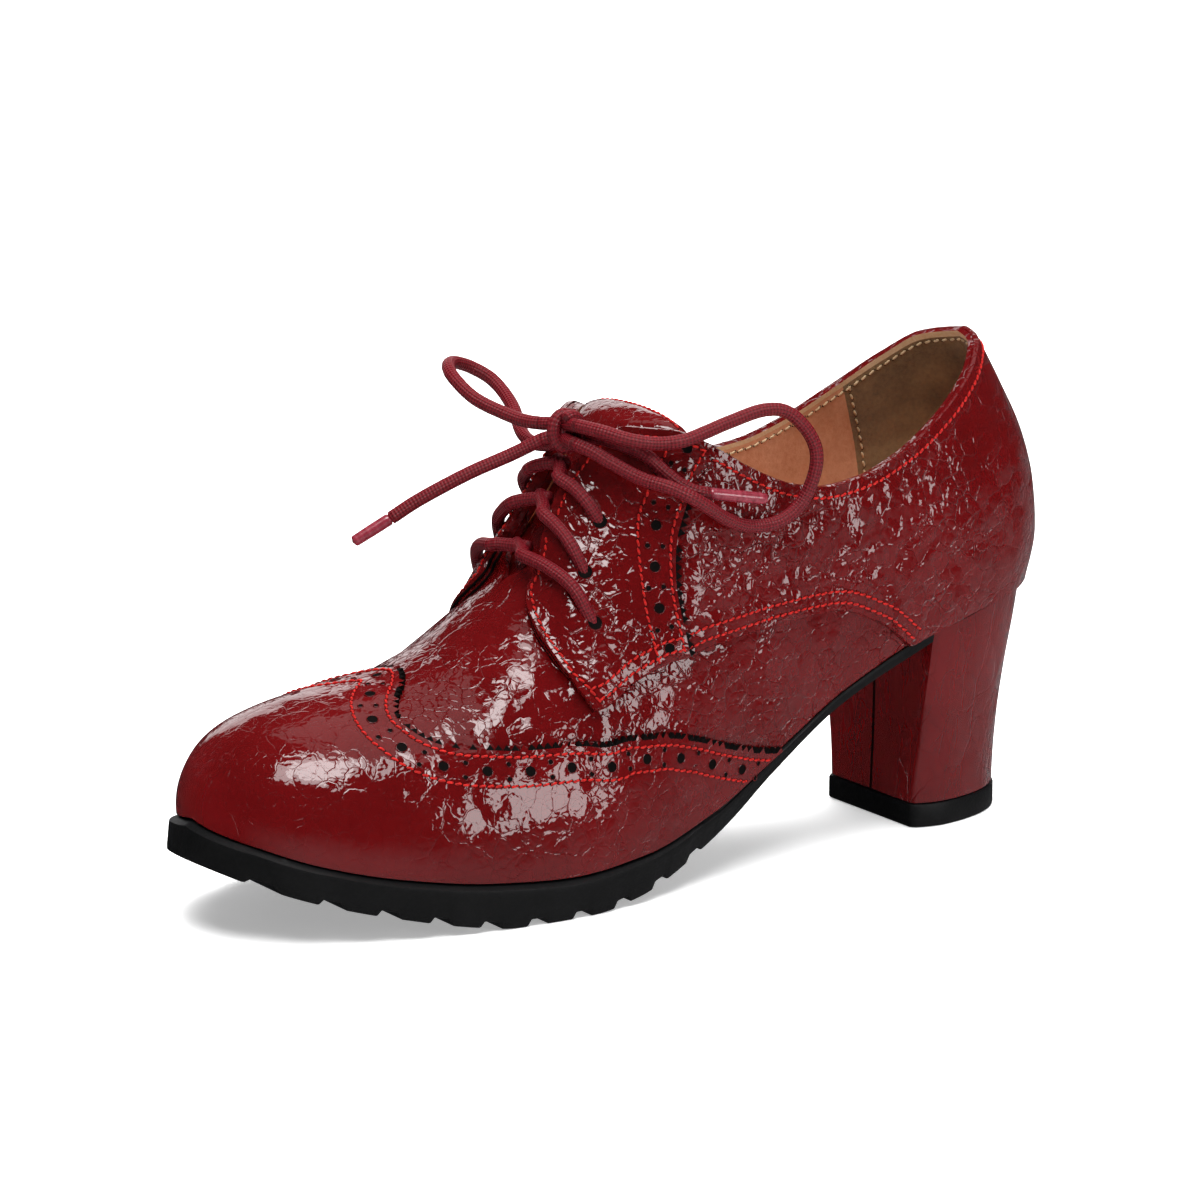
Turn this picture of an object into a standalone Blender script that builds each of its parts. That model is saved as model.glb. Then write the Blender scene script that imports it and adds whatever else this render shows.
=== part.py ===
"""Block heel derby shoe, left foot: toe to -X, heel to +X, lateral side to -Y, standing on Z = 0.

The upper, its overlays, the tongue, the insole and the sole are all worked out from one last,
which is a run of sections from toe to heel. Sizes are in millimetres until an object is made.
"""
import math

import bmesh
import bpy
import numpy as np

MM = 0.001

# Driving dimensions of the last and of the frame
LAST_LENGTH = 232.0        # along the feather edge, toe to seat
FRAME_MIDDLE = 116.16      # from_toe of the middle of the standing shoe
FRAME_SIDE = -0.74         # the outline is a little wider on the lateral side
FIT_GAP = 0.3              # between pieces that touch

# Thickness of the pieces
WALL = 1.4                 # lining and backing, the hollow upper
OVERLAY = 1.0              # quarters and wing cap
OVERLAY_GAP = 0.4          # over the wall, whose facets stand a little proud
EYESTAY = 0.9
EYESTAY_GAP = 0.45
TONGUE = 2.0
INSOLE = 2.0
TOP_PIECE = 6.0            # rubber under the heel
LACE = 3.3                 # diameter of the round lace
AGLET = 3.0                # diameter of the lace tip
TIP_GAP = 0.9              # between the lace and its tip, which meet at a slight angle

LATERAL, MEDIAL = -1, 1


def turn(from_toe):
    """Station angle from 0 to 1, so that stations crowd at the round toe and heel."""
    return np.arccos(np.clip(1 - 2 * np.asarray(from_toe, float) / LAST_LENGTH, -1, 1)) / math.pi


def unturn(angle):
    return LAST_LENGTH * (1 - np.cos(math.pi * np.asarray(angle, float))) / 2


def flow(xs, ys, at):
    """Monotone cubic through the rows, which never overshoots them."""
    xs, ys = np.asarray(xs, float), np.asarray(ys, float)
    step = np.diff(xs)
    rise = np.diff(ys) / step
    slope = np.zeros(len(xs))
    slope[0], slope[-1] = rise[0], rise[-1]
    for i in range(1, len(xs) - 1):
        if rise[i - 1] * rise[i] > 0:
            before, after = 2 * step[i] + step[i - 1], step[i] + 2 * step[i - 1]
            slope[i] = (before + after) / (before / rise[i - 1] + after / rise[i])
    at = np.clip(np.asarray(at, float), xs[0], xs[-1])
    i = np.clip(np.searchsorted(xs, at) - 1, 0, len(xs) - 2)
    t = (at - xs[i]) / step[i]
    return ((1 + 2 * t) * (1 - t) ** 2 * ys[i] + t * (1 - t) ** 2 * step[i] * slope[i]
            + t * t * (3 - 2 * t) * ys[i + 1] + t * t * (t - 1) * step[i] * slope[i + 1])


class Table:
    """Rows with named columns. The first column is the one that the others are read by."""

    def __init__(self, names, rows, by_turn=False):
        self.names = names.split()
        self.rows = np.array(rows, float)
        self.key = turn if by_turn else np.asarray

    def at(self, name, where):
        column = self.rows[:, self.names.index(name)]
        return flow(self.key(self.rows[:, 0]), column, self.key(where))


# The feather edge, where the upper meets the sole: half widths and height above the floor
FEATHER = Table("from_toe lateral medial height", [
    (0, 0.0, 0.0, 26.8),
    (6, 16.8, 17.8, 23.3),
    (18, 27.2, 28.2, 19.0),
    (36, 34.3, 34.6, 14.8),
    (58, 38.6, 38.2, 11.7),
    (78, 39.8, 37.6, 10.5),
    (98, 37.6, 33.6, 12.0),
    (120, 32.6, 27.6, 17.5),
    (142, 28.4, 24.3, 28.0),
    (165, 26.2, 24.0, 41.0),
    (190, 25.6, 25.0, 51.5),
    (212, 22.6, 22.5, 56.8),
    (226, 14.0, 14.0, 58.6),
    (232, 0.0, 0.0, 59.0)], by_turn=True)

# The top of each section: the vamp's ridge, then the throat's edge, then the topline
TOPLINE = Table("from_toe half height", [
    (0, 0, 26.8),
    (3, 0, 37),
    (10, 0, 44.5),
    (24, 0, 48.9),
    (40, 0, 51.4),
    (52, 0, 53.6),
    (62, 0, 57.9),
    (72, 0, 64.3),
    (82, 0, 71.9),
    (85, 1.5, 74.6),
    (87.5, 5.5, 76.8),
    (90, 7.2, 80),
    (93.5, 6, 86.3),
    (98, 4.6, 94.4),
    (102, 5.4, 100.2),
    (106, 7.5, 105.4),
    (111, 13, 109.2),
    (117, 19.5, 109),
    (126, 24, 105),
    (137, 26, 98.5),
    (148, 27, 93.8),
    (158, 27, 92.3),
    (170, 26.5, 93.5),
    (184, 25.3, 97.5),
    (200, 22.8, 104.5),
    (216, 17.8, 113),
    (226, 11, 118.8),
    (232, 0, 121)], by_turn=True)

# How full each section is: low handle out in mm and up as a share of the height,
# high handle out as a share of the feather's half width and down as a share of the height
FULLNESS = Table("from_toe low_out low_up high_out high_down", [
    (0, 1.5, 0.55, 0.60, 0.00),
    (40, 2.5, 0.55, 0.62, 0.00),
    (76, 2.5, 0.50, 0.52, 0.00),
    (90, 2.2, 0.47, 0.40, 0.08),
    (104, 2.0, 0.45, 0.28, 0.14),
    (120, 2.2, 0.42, 0.18, 0.22),
    (140, 3.0, 0.40, 0.13, 0.30),
    (165, 3.5, 0.40, 0.12, 0.35),
    (190, 4.0, 0.40, 0.12, 0.35),
    (232, 3.0, 0.40, 0.12, 0.35)], by_turn=True)

# The heel's curve at the back: it swells over the seat and leans in to the topline
BACK = Table("share_of_height shift", [
    (0, 0), (0.2, 2.3), (0.4, 1.4), (0.6, -1.8), (0.8, -7.8), (1, -14.8)])
BACK_FROM = 150.0
# The toe's front leans back as it rises
FRONT = Table("height shift", [(0, 0), (6, 0.2), (12, 0.5), (18, 0.8), (26, 1)])
FRONT_TO = 40.0
ROUND_END = 15.0           # half width under which a section loses its low handle


def last_point(from_toe, share, side):
    """A point of the last: share runs up the side from the feather edge (0) to the top (1)."""
    d, v = np.broadcast_arrays(np.asarray(from_toe, float), np.asarray(share, float))
    foot = FEATHER.at("lateral" if side == LATERAL else "medial", d)
    low = FEATHER.at("height", d)
    half = TOPLINE.at("half", d)
    tall = TOPLINE.at("height", d) - low
    low_out = foot + FULLNESS.at("low_out", d) * np.minimum(1, foot / ROUND_END)
    high_out = half + FULLNESS.at("high_out", d) * foot
    b0, b1, b2, b3 = (1 - v) ** 3, 3 * v * (1 - v) ** 2, 3 * v * v * (1 - v), v ** 3
    out = b0 * foot + b1 * low_out + b2 * high_out + b3 * half
    rise = (b1 * FULLNESS.at("low_up", d) + b2 * (1 - FULLNESS.at("high_down", d)) + b3)
    at_back = np.clip((d - BACK_FROM) / (LAST_LENGTH - BACK_FROM), 0, 1) ** 1.5
    at_front = np.clip(1 - d / FRONT_TO, 0, 1) ** 2
    shift = BACK.at("shift", rise) * at_back + FRONT.at("shift", rise * tall) * at_front
    return np.stack([d + shift, side * out, low + rise * tall], -1)


def last_normal(from_toe, share, side):
    """Outward direction of the last, kept in the middle plane along the ridge and the back seam."""
    d, v = np.broadcast_arrays(np.asarray(from_toe, float), np.asarray(share, float))
    step = 0.002
    angle = np.clip(turn(d), 2 * step, 1 - 2 * step)
    up = np.clip(v, 2 * step, 1 - 2 * step)
    along = last_point(unturn(angle + step), up, side) - last_point(unturn(angle - step), up, side)
    across = last_point(unturn(angle), up + step, side) - last_point(unturn(angle), up - step, side)
    normal = np.cross(along, across) * -side
    in_middle = np.abs(last_point(d, v, side)[..., 1]) < 1e-6
    normal[..., 1] = np.where(in_middle, 0, normal[..., 1])
    return normal / np.linalg.norm(normal, axis=-1, keepdims=True)


def skin(from_toe, share, side, lift):
    """A point at a distance above the last (below it where lift is negative)."""
    return last_point(from_toe, share, side) + lift * last_normal(from_toe, share, side)


# Objects, collections and materials
def start_scene():
    for old in list(bpy.data.objects):
        bpy.data.objects.remove(old, do_unlink=True)
    made = {}
    for name in ("block_heel_derby_shoe", "cutters"):
        made[name] = bpy.data.collections.new(name)
        bpy.context.scene.collection.children.link(made[name])
    return made["block_heel_derby_shoe"], made["cutters"]


PARTS, CUTTERS = start_scene()


def material(name, colour, roughness):
    made = bpy.data.materials.new(name)
    made.use_nodes = True
    shader = made.node_tree.nodes["Principled BSDF"]
    shader.inputs["Base Color"].default_value = (*colour, 1)
    shader.inputs["Roughness"].default_value = roughness
    return made


PATENT = material("red_crinkle_patent", (0.105, 0.004, 0.006), 0.15)
LINING = material("tan_lining_leather", (0.55, 0.30, 0.16), 0.6)
RUBBER = material("black_rubber", (0.012, 0.012, 0.013), 0.6)
CORD = material("waxed_red_cord", (0.26, 0.018, 0.032), 0.5)
TIP = material("clear_lace_tip", (0.30, 0.03, 0.04), 0.2)


def to_frame(points):
    """From last sizes in millimetres to the part's own frame in metres."""
    points = np.asarray(points, float).reshape(-1, 3)
    return (points - (FRAME_MIDDLE, FRAME_SIDE, 0)) * MM


def add_object(name, data, finish, collection=PARTS):
    made = bpy.data.objects.new(name, data)
    if finish:
        data.materials.append(finish)
    collection.objects.link(made)
    return made


def mesh_object(name, points, faces, finish, collection=PARTS):
    """An object from computed points; points that fall together are merged."""
    mesh = bpy.data.meshes.new(name)
    mesh.from_pydata(to_frame(points).tolist(), [], faces)
    work = bmesh.new()
    work.from_mesh(mesh)
    bmesh.ops.remove_doubles(work, verts=work.verts, dist=1e-6)
    work.to_mesh(mesh)
    work.free()
    mesh.shade_smooth()
    mesh.set_sharp_from_angle(angle=math.radians(35))
    return add_object(name, mesh, finish, collection)


def as_cutter(made):
    made.hide_render = True
    made.display_type = "WIRE"
    return made


def boolean(target, cutter, operation):
    modifier = target.modifiers.new(cutter.name, "BOOLEAN")
    modifier.operation = operation
    modifier.object = cutter
    modifier.solver = "EXACT"


# The upper and its overlays
def even(start, end, count):
    return np.linspace(start, end, count, endpoint=False)


def even_turn(start, end, count):
    return unturn(np.linspace(turn(start), turn(end), count, endpoint=False))


# Sections stand closer at the toe, the throat and the heel
STATIONS = np.concatenate([
    even_turn(0, 24, 9), even(24, 80, 9), even(80, 112, 10), even(112, 140, 5),
    even(140, 200, 7), even_turn(200, LAST_LENGTH, 6), [LAST_LENGTH]])
SHARES = np.linspace(0, 1, 9)
OVERLAY_LOW = 0.01         # overlays start just above the sole's edge
SEAM_HALF_GAP = 0.15       # on each side of the back seam


def side_grid(stations, shares, side, lift):
    """Points and faces of one side of the upper, faces pointing out."""
    d, v = np.meshgrid(stations, shares, indexing="ij")
    points = skin(d, v, side, lift).reshape(-1, 3)
    rows = len(shares)
    faces = []
    for i in range(len(stations) - 1):
        for j in range(rows - 1):
            a, b = i * rows + j, (i + 1) * rows + j
            face = (a, b, b + 1, a + 1)
            faces.append(face if side == LATERAL else face[::-1])
    return points, faces


def shell(name, stations, shares, sides, lift, thickness, finish):
    """One or both sides of the last as a wall: thickness grows out, or in where it is negative."""
    points, faces = np.zeros((0, 3)), []
    for side in sides:
        more, quads = side_grid(stations, shares, side, lift)
        if len(sides) == 1:
            more[:, 1] = side * np.maximum(SEAM_HALF_GAP, side * more[:, 1])
        faces += [tuple(k + len(points) for k in quad) for quad in quads]
        points = np.concatenate([points, more])
    made = mesh_object(name, points, faces, finish)
    solidify = made.modifiers.new("wall", "SOLIDIFY")
    solidify.thickness = abs(thickness) * MM
    solidify.offset = math.copysign(1, thickness)
    return made


def side_prism(name, outline):
    """A cutter: an outline in the side view, from_toe and height, through the whole width."""
    reach = 60.0
    points = [(d, y, z) for y in (-reach, reach) for d, z in outline]
    count = len(outline)
    faces = [tuple(range(count)), tuple(range(2 * count - 1, count - 1, -1))]
    for i in range(count):
        j = (i + 1) % count
        faces.append((j, i, count + i, count + j))
    made = mesh_object(name, points, faces, None, CUTTERS)
    work = bmesh.new()
    work.from_mesh(made.data)
    bmesh.ops.recalc_face_normals(work, faces=work.faces)
    work.to_mesh(made.data)
    work.free()
    return as_cutter(made)


# Edges of the panels in the side view: from_toe and height
WING_EDGE = [(53.5, 60.0), (52.4, 55.6), (50.5, 54.3), (48.0, 52.8), (45.0, 51.1), (42.8, 49.3), (42.3, 47.7),
             (44.0, 46.3), (46.5, 44.6), (50.5, 43.0), (57.0, 41.7), (68.0, 41.0), (85.0, 40.5), (98.0, 39.8),
             (110.0, 38.2), (120.0, 35.9), (130.0, 33.0), (141.0, 29.5), (150.0, 26.0)]
QUARTER_LOW = [(87.0, 47.3), (94.6, 50.6), (102.0, 53.2), (110.0, 55.7), (120.0, 58.2), (132.0, 60.1),
               (145.0, 61.4), (156.0, 61.7), (163.0, 60.8), (169.0, 58.7), (175.0, 55.4), (180.5, 51.2), (186.0, 45.0)]
TAB_FRONT = [(87.0, 47.3), (83.6, 53.1), (81.0, 58.8), (79.3, 64.7), (79.8, 68.5), (81.4, 71.0), (83.2, 73.2),
             (85.4, 76.6), (87.2, 80.5), (88.4, 86.0), (90.0, 92.0), (94.0, 120.0)]
EYESTAY_REAR = [(116.0, 57.2), (113.6, 66.0), (113.0, 72.0), (113.6, 78.5), (115.2, 84.0), (118.2, 90.5),
                (121.5, 97.0), (126.0, 107.0), (128.0, 120.0)]
PRISM_TOP = 130.0
PRISM_BACK = 245.0
PRISM_FRONT = -12.0
PRISM_LOW = 5.0


def build_upper():
    shell("upper", STATIONS, SHARES, (LATERAL, MEDIAL), 0, -WALL, LINING)


def build_overlays():
    shares = np.concatenate([[OVERLAY_LOW], SHARES[1:]])
    lift = OVERLAY_GAP
    wing = shell("wing_cap", STATIONS[STATIONS < 152], shares, (LATERAL, MEDIAL), lift, OVERLAY, PATENT)
    toe_side = [(WING_EDGE[-1][0], PRISM_LOW), (PRISM_FRONT, PRISM_LOW), (PRISM_FRONT, WING_EDGE[0][1])]
    boolean(wing, side_prism("wing_outline", WING_EDGE + toe_side), "INTERSECT")
    heel_side = [(PRISM_BACK, QUARTER_LOW[-1][1]), (PRISM_BACK, PRISM_TOP), (TAB_FRONT[-1][0], PRISM_TOP)]
    quarter_outline = side_prism("quarter_outline", QUARTER_LOW + heel_side + TAB_FRONT[:0:-1])
    eyestay_low = [point for point in QUARTER_LOW if point[0] < EYESTAY_REAR[0][0]]
    eyestay_outline = side_prism("eyestay_outline", eyestay_low + EYESTAY_REAR + TAB_FRONT[:0:-1])
    for side, word in ((LATERAL, "lateral"), (MEDIAL, "medial")):
        behind = STATIONS[STATIONS > 74]
        quarter = shell("quarter_" + word, behind, shares, (side,), lift, OVERLAY, PATENT)
        boolean(quarter, quarter_outline, "INTERSECT")
        over = lift + OVERLAY + EYESTAY_GAP
        front = STATIONS[(STATIONS > 74) & (STATIONS < 134)]
        eyestay = shell("eyestay_" + word, front, shares, (side,), over, EYESTAY, PATENT)
        boolean(eyestay, eyestay_outline, "INTERSECT")


# The instep between the two facings: tongue and lace lie along it
GAP_SHARE = 0.4            # part of the width across that lies between the facings
ARCH = 0.13                # how far the facings' slope carries over the gap


def instep(from_toe, across, low, lift):
    """A point across the instep: -1 and 1 on the facings at share low, 0 over the middle."""
    reach = abs(across)
    if reach > GAP_SHARE:
        share = 1 - (1 - low) * (reach - GAP_SHARE) / (1 - GAP_SHARE)
        return skin(from_toe, share, MEDIAL if across > 0 else LATERAL, lift)
    ends = [skin(from_toe, 1, side, lift) for side in (LATERAL, MEDIAL)]
    width = np.linalg.norm(ends[1] - ends[0])
    handles = []
    for side, end in zip((LATERAL, MEDIAL), ends):
        slope = end - skin(from_toe, 0.97, side, lift)
        handles.append(end + slope / np.linalg.norm(slope) * ARCH * width)
    t = (across + GAP_SHARE) / (2 * GAP_SHARE)
    return ((1 - t) ** 3 * ends[0] + 3 * t * (1 - t) ** 2 * handles[0]
            + 3 * t * t * (1 - t) * handles[1] + t ** 3 * ends[1])


# The tongue reaches from under the vamp to above the facings
TONGUE_REACH = Table("from_toe low", [(78, 0.84), (95, 0.80), (108, 0.84), (116, 0.94), (122, 0.985)])


def build_tongue():
    stations = np.linspace(78, 122, 12)
    across = np.linspace(-1, 1, 13)
    lift = -WALL - 2 * FIT_GAP
    points = [instep(d, a, TONGUE_REACH.at("low", d), lift) for d in stations for a in across]
    faces = []
    for i in range(len(stations) - 1):
        for j in range(len(across) - 1):
            a, b = i * len(across) + j, (i + 1) * len(across) + j
            faces.append((a, b, b + 1, a + 1))
    made = mesh_object("tongue", points, faces, PATENT)
    solidify = made.modifiers.new("wall", "SOLIDIFY")
    solidify.thickness = TONGUE * MM
    solidify.offset = -1


# Flat pieces around the foot's outline
def outline(stations, out, back):
    """Half widths along the feather edge, moved out square to the edge by a width for each station."""
    rims = []
    for side, name in ((LATERAL, "lateral"), (MEDIAL, "medial")):
        half = FEATHER.at(name, stations)
        ahead = np.gradient(np.stack([stations, half], -1), axis=0)
        ahead[0], ahead[-1] = ((0, 1), (1, 0)) if back is None else ((0, 1), (0, -1))
        square = np.stack([-ahead[:, 1], ahead[:, 0]], -1)
        square /= np.linalg.norm(square, axis=-1, keepdims=True)
        rim = np.stack([stations, half], -1) + square * np.asarray(out)[:, None]
        if back is not None:
            rim[:, 0] = np.minimum(rim[:, 0], back)
        rims.append((side, rim))
    return rims


def stacked(name, layers, finish):
    """A solid from layers of two rims each; each layer is (rims, heights) from the top down."""
    count = len(layers[0][1])
    points, faces = [], []
    for rims, heights in layers:
        for side, rim in rims:
            points += [(x, side * y, z) for (x, y), z in zip(rim, heights)]

    def at(layer, side, i):
        return (2 * layer + side) * count + i

    for i in range(count - 1):
        faces.append((at(0, 0, i), at(0, 0, i + 1), at(0, 1, i + 1), at(0, 1, i)))
        low = len(layers) - 1
        faces.append((at(low, 0, i), at(low, 1, i), at(low, 1, i + 1), at(low, 0, i + 1)))
    for layer in range(len(layers) - 1):
        for i in range(count - 1):
            faces.append((at(layer, 0, i), at(layer + 1, 0, i), at(layer + 1, 0, i + 1), at(layer, 0, i + 1)))
            faces.append((at(layer, 1, i), at(layer, 1, i + 1), at(layer + 1, 1, i + 1), at(layer + 1, 1, i)))
        for i, flip in ((0, False), (count - 1, True)):
            face = (at(layer, 0, i), at(layer, 1, i), at(layer + 1, 1, i), at(layer + 1, 0, i))
            faces.append(face[::-1] if flip else face)
    return mesh_object(name, points, faces, finish)


def build_insole():
    stations = np.concatenate([even_turn(0, 24, 8), even(24, 200, 18), even_turn(200, 232, 6), [LAST_LENGTH]])
    inset = np.full(len(stations), -(WALL + 2 * FIT_GAP))
    rims = outline(stations, inset, LAST_LENGTH)
    rims = [(side, np.stack([rim[:, 0], np.maximum(rim[:, 1], 0)], -1)) for side, rim in rims]
    low = FEATHER.at("height", stations)
    stacked("insole", [(rims, low + INSOLE), (rims, low)], LINING)


# The outsole: its edge past the feather, the height of its underside, and its tread
SOLE_END = 191.5
SOLE_EDGE = Table("from_toe out", [
    (0, 3.2), (30, 2.9), (70, 2.7), (96, 2.4), (112, 1.7), (130, 0.9), (150, 0.5), (192, 0.3)])
SOLE_UNDER = Table("from_toe height", [
    (0, 17.6), (6, 14.3), (18, 9.6), (36, 4.9), (52, 1.5), (63, 0), (84, 0), (96, 1.5), (107, 4.4), (118, 8.6),
    (130, 14.8), (142, 23.2), (164, 37.2), (192, 49.2)])
LEDGE_IN = 0.3             # the ledge around the upper starts this far outside the feather edge
LEDGE_DROP = 1.3           # and slopes down by this much to the sole's side
# How far the side runs in towards the floor; at the toe it leans out
UNDERCUT = Table("from_toe inset", [(0, -1.2), (8, 0.2), (25, 1.4), (192, 1.4)])
FULL_SOLE = 8.0            # thickness from which ledge and undercut are full
LUG_FROM, LUG_TO = 5.0, 114.0
LUG_PITCH = 12.0
LUG_GROOVE = 5.4
GROOVE_DEPTH = 1.6
GROOVE_SLOPE = 1.2


def tread_stations():
    """Stations at each groove's four edges, with the depth of the tread there."""
    rows = []
    for start in np.arange(LUG_FROM, LUG_TO, LUG_PITCH):
        rows += [(start, 0), (start + GROOVE_SLOPE, GROOVE_DEPTH),
                 (start + LUG_GROOVE - GROOVE_SLOPE, GROOVE_DEPTH), (start + LUG_GROOVE, 0)]
    toe = [(d, 0) for d in even_turn(0, LUG_FROM, 6)]
    waist = [(d, 0) for d in np.linspace(LUG_TO + LUG_GROOVE + 2, SOLE_END, 11)]
    return np.array(toe + rows + waist)


def build_outsole():
    stations, depth = tread_stations().T
    edge = SOLE_EDGE.at("out", stations)
    top = FEATHER.at("height", stations) - FIT_GAP
    under = SOLE_UNDER.at("height", stations)
    thick = top - under
    slim = np.minimum(1, thick / FULL_SOLE)
    layers = [
        (outline(stations, np.minimum(LEDGE_IN, edge), None), top),
        (outline(stations, edge, None), top - LEDGE_DROP * slim),
        (outline(stations, edge - UNDERCUT.at("inset", stations) * slim, None), under + depth)]
    stacked("outsole", layers, RUBBER)


# The heel block: a D in plan, wider and longer at the seat than at the floor
HEEL = Table("share breast_at breast_half side_half back_at", [
    (0.0, 191.2, 17.6, 20.0, 225.4),
    (0.15, 191.5, 18.4, 20.5, 225.6),
    (0.35, 191.8, 19.9, 21.2, 226.4),
    (0.6, 192.0, 22.0, 22.6, 228.2),
    (0.82, 192.0, 24.0, 24.2, 230.3),
    (1.0, 192.0, 25.3, 25.3, 231.8)])
HEEL_ROUND = 2.25          # roundness of the D towards the back
HEEL_FLARE = 0.3           # share of the length over which the side swells
HEEL_RINGS = 9


def heel_rims(share, grow):
    breast, back = HEEL.at("breast_at", share) - grow, HEEL.at("back_at", share) + grow
    narrow, wide = HEEL.at("breast_half", share) + grow, HEEL.at("side_half", share) + grow
    along = np.sin(np.linspace(0, math.pi / 2, 15))
    swell = 1 - (1 - np.minimum(along / HEEL_FLARE, 1)) ** 2
    half = (narrow + (wide - narrow) * swell) * np.sqrt(np.maximum(1 - along ** HEEL_ROUND, 0))
    rim = np.stack([breast + along * (back - breast), half], -1)
    return [(LATERAL, rim), (MEDIAL, rim)]


def build_heel():
    low = TOP_PIECE + FIT_GAP
    layers = []
    for share in np.linspace(1, 0, HEEL_RINGS):
        rims = heel_rims(share, 0)
        seat = FEATHER.at("height", np.minimum(rims[0][1][:, 0], LAST_LENGTH)) - FIT_GAP
        layers.append((rims, low + share * (seat - low)))
    stacked("heel", layers, PATENT)
    proud = 0.5
    flat = np.ones(len(layers[0][1]))
    foot = heel_rims(0, proud)
    stacked("top_piece", [(foot, flat * TOP_PIECE), (foot, flat * 0)], RUBBER)


# The lace: crossings over the facings, then a bow of two loops and two ends
LACE_LIFT = OVERLAY_GAP + OVERLAY + EYESTAY_GAP + EYESTAY + 3 * FIT_GAP + LACE / 2
TUCKED_LIFT = 0.9          # over the gap the lace sinks towards the tongue
TUCKED_AT = 0.12           # where a leg ends, past the middle of the gap
# Each leg leaves a hole, crosses its facing's edge and tucks under the other facing
LACE_LEGS = [
    dict(name="top", from_toe=101.4, share=0.756, edge_at=98.6, tucked_at=101.0),
    dict(name="middle", from_toe=94.6, share=0.715, edge_at=94.0, tucked_at=96.0),
    dict(name="low", from_toe=92.6, share=0.594, edge_at=88.2, tucked_at=89.8)]
KNOT = (99.4, -2.4, 108.0)
KNOT_SIZE = (5.2, 6.2, 5.8)


def smooth_route(route, spacing):
    """Points on a smooth curve through a route, at about the given spacing."""
    route = np.asarray(route, float)
    padded = np.concatenate([[2 * route[0] - route[1]], route, [2 * route[-1] - route[-2]]])
    curve = []
    for a, b, c, d in zip(padded, padded[1:], padded[2:], padded[3:]):
        for t in np.linspace(0, 1, 24, endpoint=False):
            curve.append(0.5 * (2 * b + (c - a) * t + (2 * a - 5 * b + 4 * c - d) * t * t
                                + (3 * b - a - 3 * c + d) * t ** 3))
    curve = np.array(curve + [route[-1]])
    travel = np.concatenate([[0], np.cumsum(np.linalg.norm(np.diff(curve, axis=0), axis=1))])
    marks = np.linspace(0, travel[-1], max(2, round(travel[-1] / spacing) + 1))
    return np.stack([np.interp(marks, travel, curve[:, k]) for k in range(3)], -1)


def tube(name, points, diameter, finish, collection=PARTS):
    curve = bpy.data.curves.new(name, "CURVE")
    curve.dimensions = "3D"
    curve.bevel_depth = diameter / 2 * MM
    curve.bevel_resolution = 2
    curve.use_fill_caps = True
    spline = curve.splines.new("POLY")
    spline.points.add(len(points) - 1)
    for point, place in zip(spline.points, to_frame(points)):
        point.co = (*place, 1)
    return add_object(name, curve, finish, collection)


def solid_tube(name, points, collection):
    """A tube made into a closed mesh, so that it can be joined to others."""
    curve = tube(name + "_line", points, LACE, CORD, collection)
    bpy.context.view_layer.update()
    mesh = bpy.data.meshes.new_from_object(curve.evaluated_get(bpy.context.evaluated_depsgraph_get()))
    work = bmesh.new()
    work.from_mesh(mesh)
    bmesh.ops.remove_doubles(work, verts=work.verts, dist=1e-6)
    work.to_mesh(mesh)
    work.free()
    bpy.data.objects.remove(curve, do_unlink=True)
    return add_object(name, mesh, None, collection)


def crossing(leg, side):
    """One leg of the lacing, from its hole to the middle of the gap."""
    route = [skin(d, share, side, LACE_LIFT) for d, share in zip(
        np.linspace(leg["from_toe"], leg["edge_at"], 4), np.linspace(leg["share"], 1, 4))]
    for t in (0.25, 0.5, 0.75, 1):
        across = side * (GAP_SHARE + t * (-TUCKED_AT - GAP_SHARE))
        from_toe = leg["edge_at"] + t * (leg["tucked_at"] - leg["edge_at"])
        route.append(instep(from_toe, across, 1, LACE_LIFT + t * (TUCKED_LIFT - LACE_LIFT)))
    return route


def build_crossings():
    for leg in LACE_LEGS:
        name = "lace_cross_" + leg["name"]
        joined = solid_tube(name, crossing(leg, LATERAL), PARTS)
        other = as_cutter(solid_tube(name + "_medial", crossing(leg, MEDIAL), CUTTERS))
        boolean(joined, other, "UNION")


# Routes of the bow: from_toe, side and height, each starting at the knot
LOOP_RIGHT = [(98.4, -9.6, 110.2), (101.2, -16.2, 109.5), (105.4, -21.4, 108.0), (111.0, -24.2, 107.0),
              (116.6, -27.0, 107.5), (123.2, -27.4, 109.1), (129.3, -28.0, 110.9), (137.9, -29.6, 113.1),
              (144.0, -31.5, 112.0), (148.7, -34.0, 105.9), (149.3, -35.0, 99.3), (146.4, -33.6, 90.8),
              (140.4, -33.0, 86.6), (132.8, -32.4, 86.1), (125.4, -33.2, 88.6), (116.2, -34.2, 94.4),
              (110.8, -30.8, 97.5), (106.6, -25.2, 99.1), (102.8, -19.4, 101.8), (99.6, -14.2, 104.6),
              (97.6, -9.8, 105.9)]
LOOP_LEFT = [(96.8, 4.3, 108.7), (95.4, 8.1, 108.7), (93.6, 12.6, 109.4), (89.5, 21.8, 112.4),
             (88.6, 30.2, 116.1), (90.3, 36.1, 118.1), (94.5, 40.4, 118.1), (100.1, 41.1, 116.1),
             (103.8, 37.0, 113.0), (103.0, 27.4, 108.7), (99.1, 16.7, 104.3), (98.3, 10.3, 102.8),
             (99.4, 4.6, 103.0)]
END_LEFT = [(94.9, 1.0, 105.5), (89.1, 5.0, 101.9), (79.3, 9.0, 97.6), (69.0, 14.0, 91.7), (62.7, 17.0, 87.3)]
END_RIGHT = [(101.6, -8.9, 107.5), (104.8, -14.5, 106.6), (107.4, -18.3, 105.4), (110.0, -21.7, 103.7),
             (112.6, -25.2, 100.2), (115.2, -28.4, 97.4), (118.0, -30.9, 95.8), (120.8, -31.4, 95.2)]
TIP_LEFT = (54.2, 20.0, 82.0)
TIP_RIGHT = (136.3, -32.8, 92.4)
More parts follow.
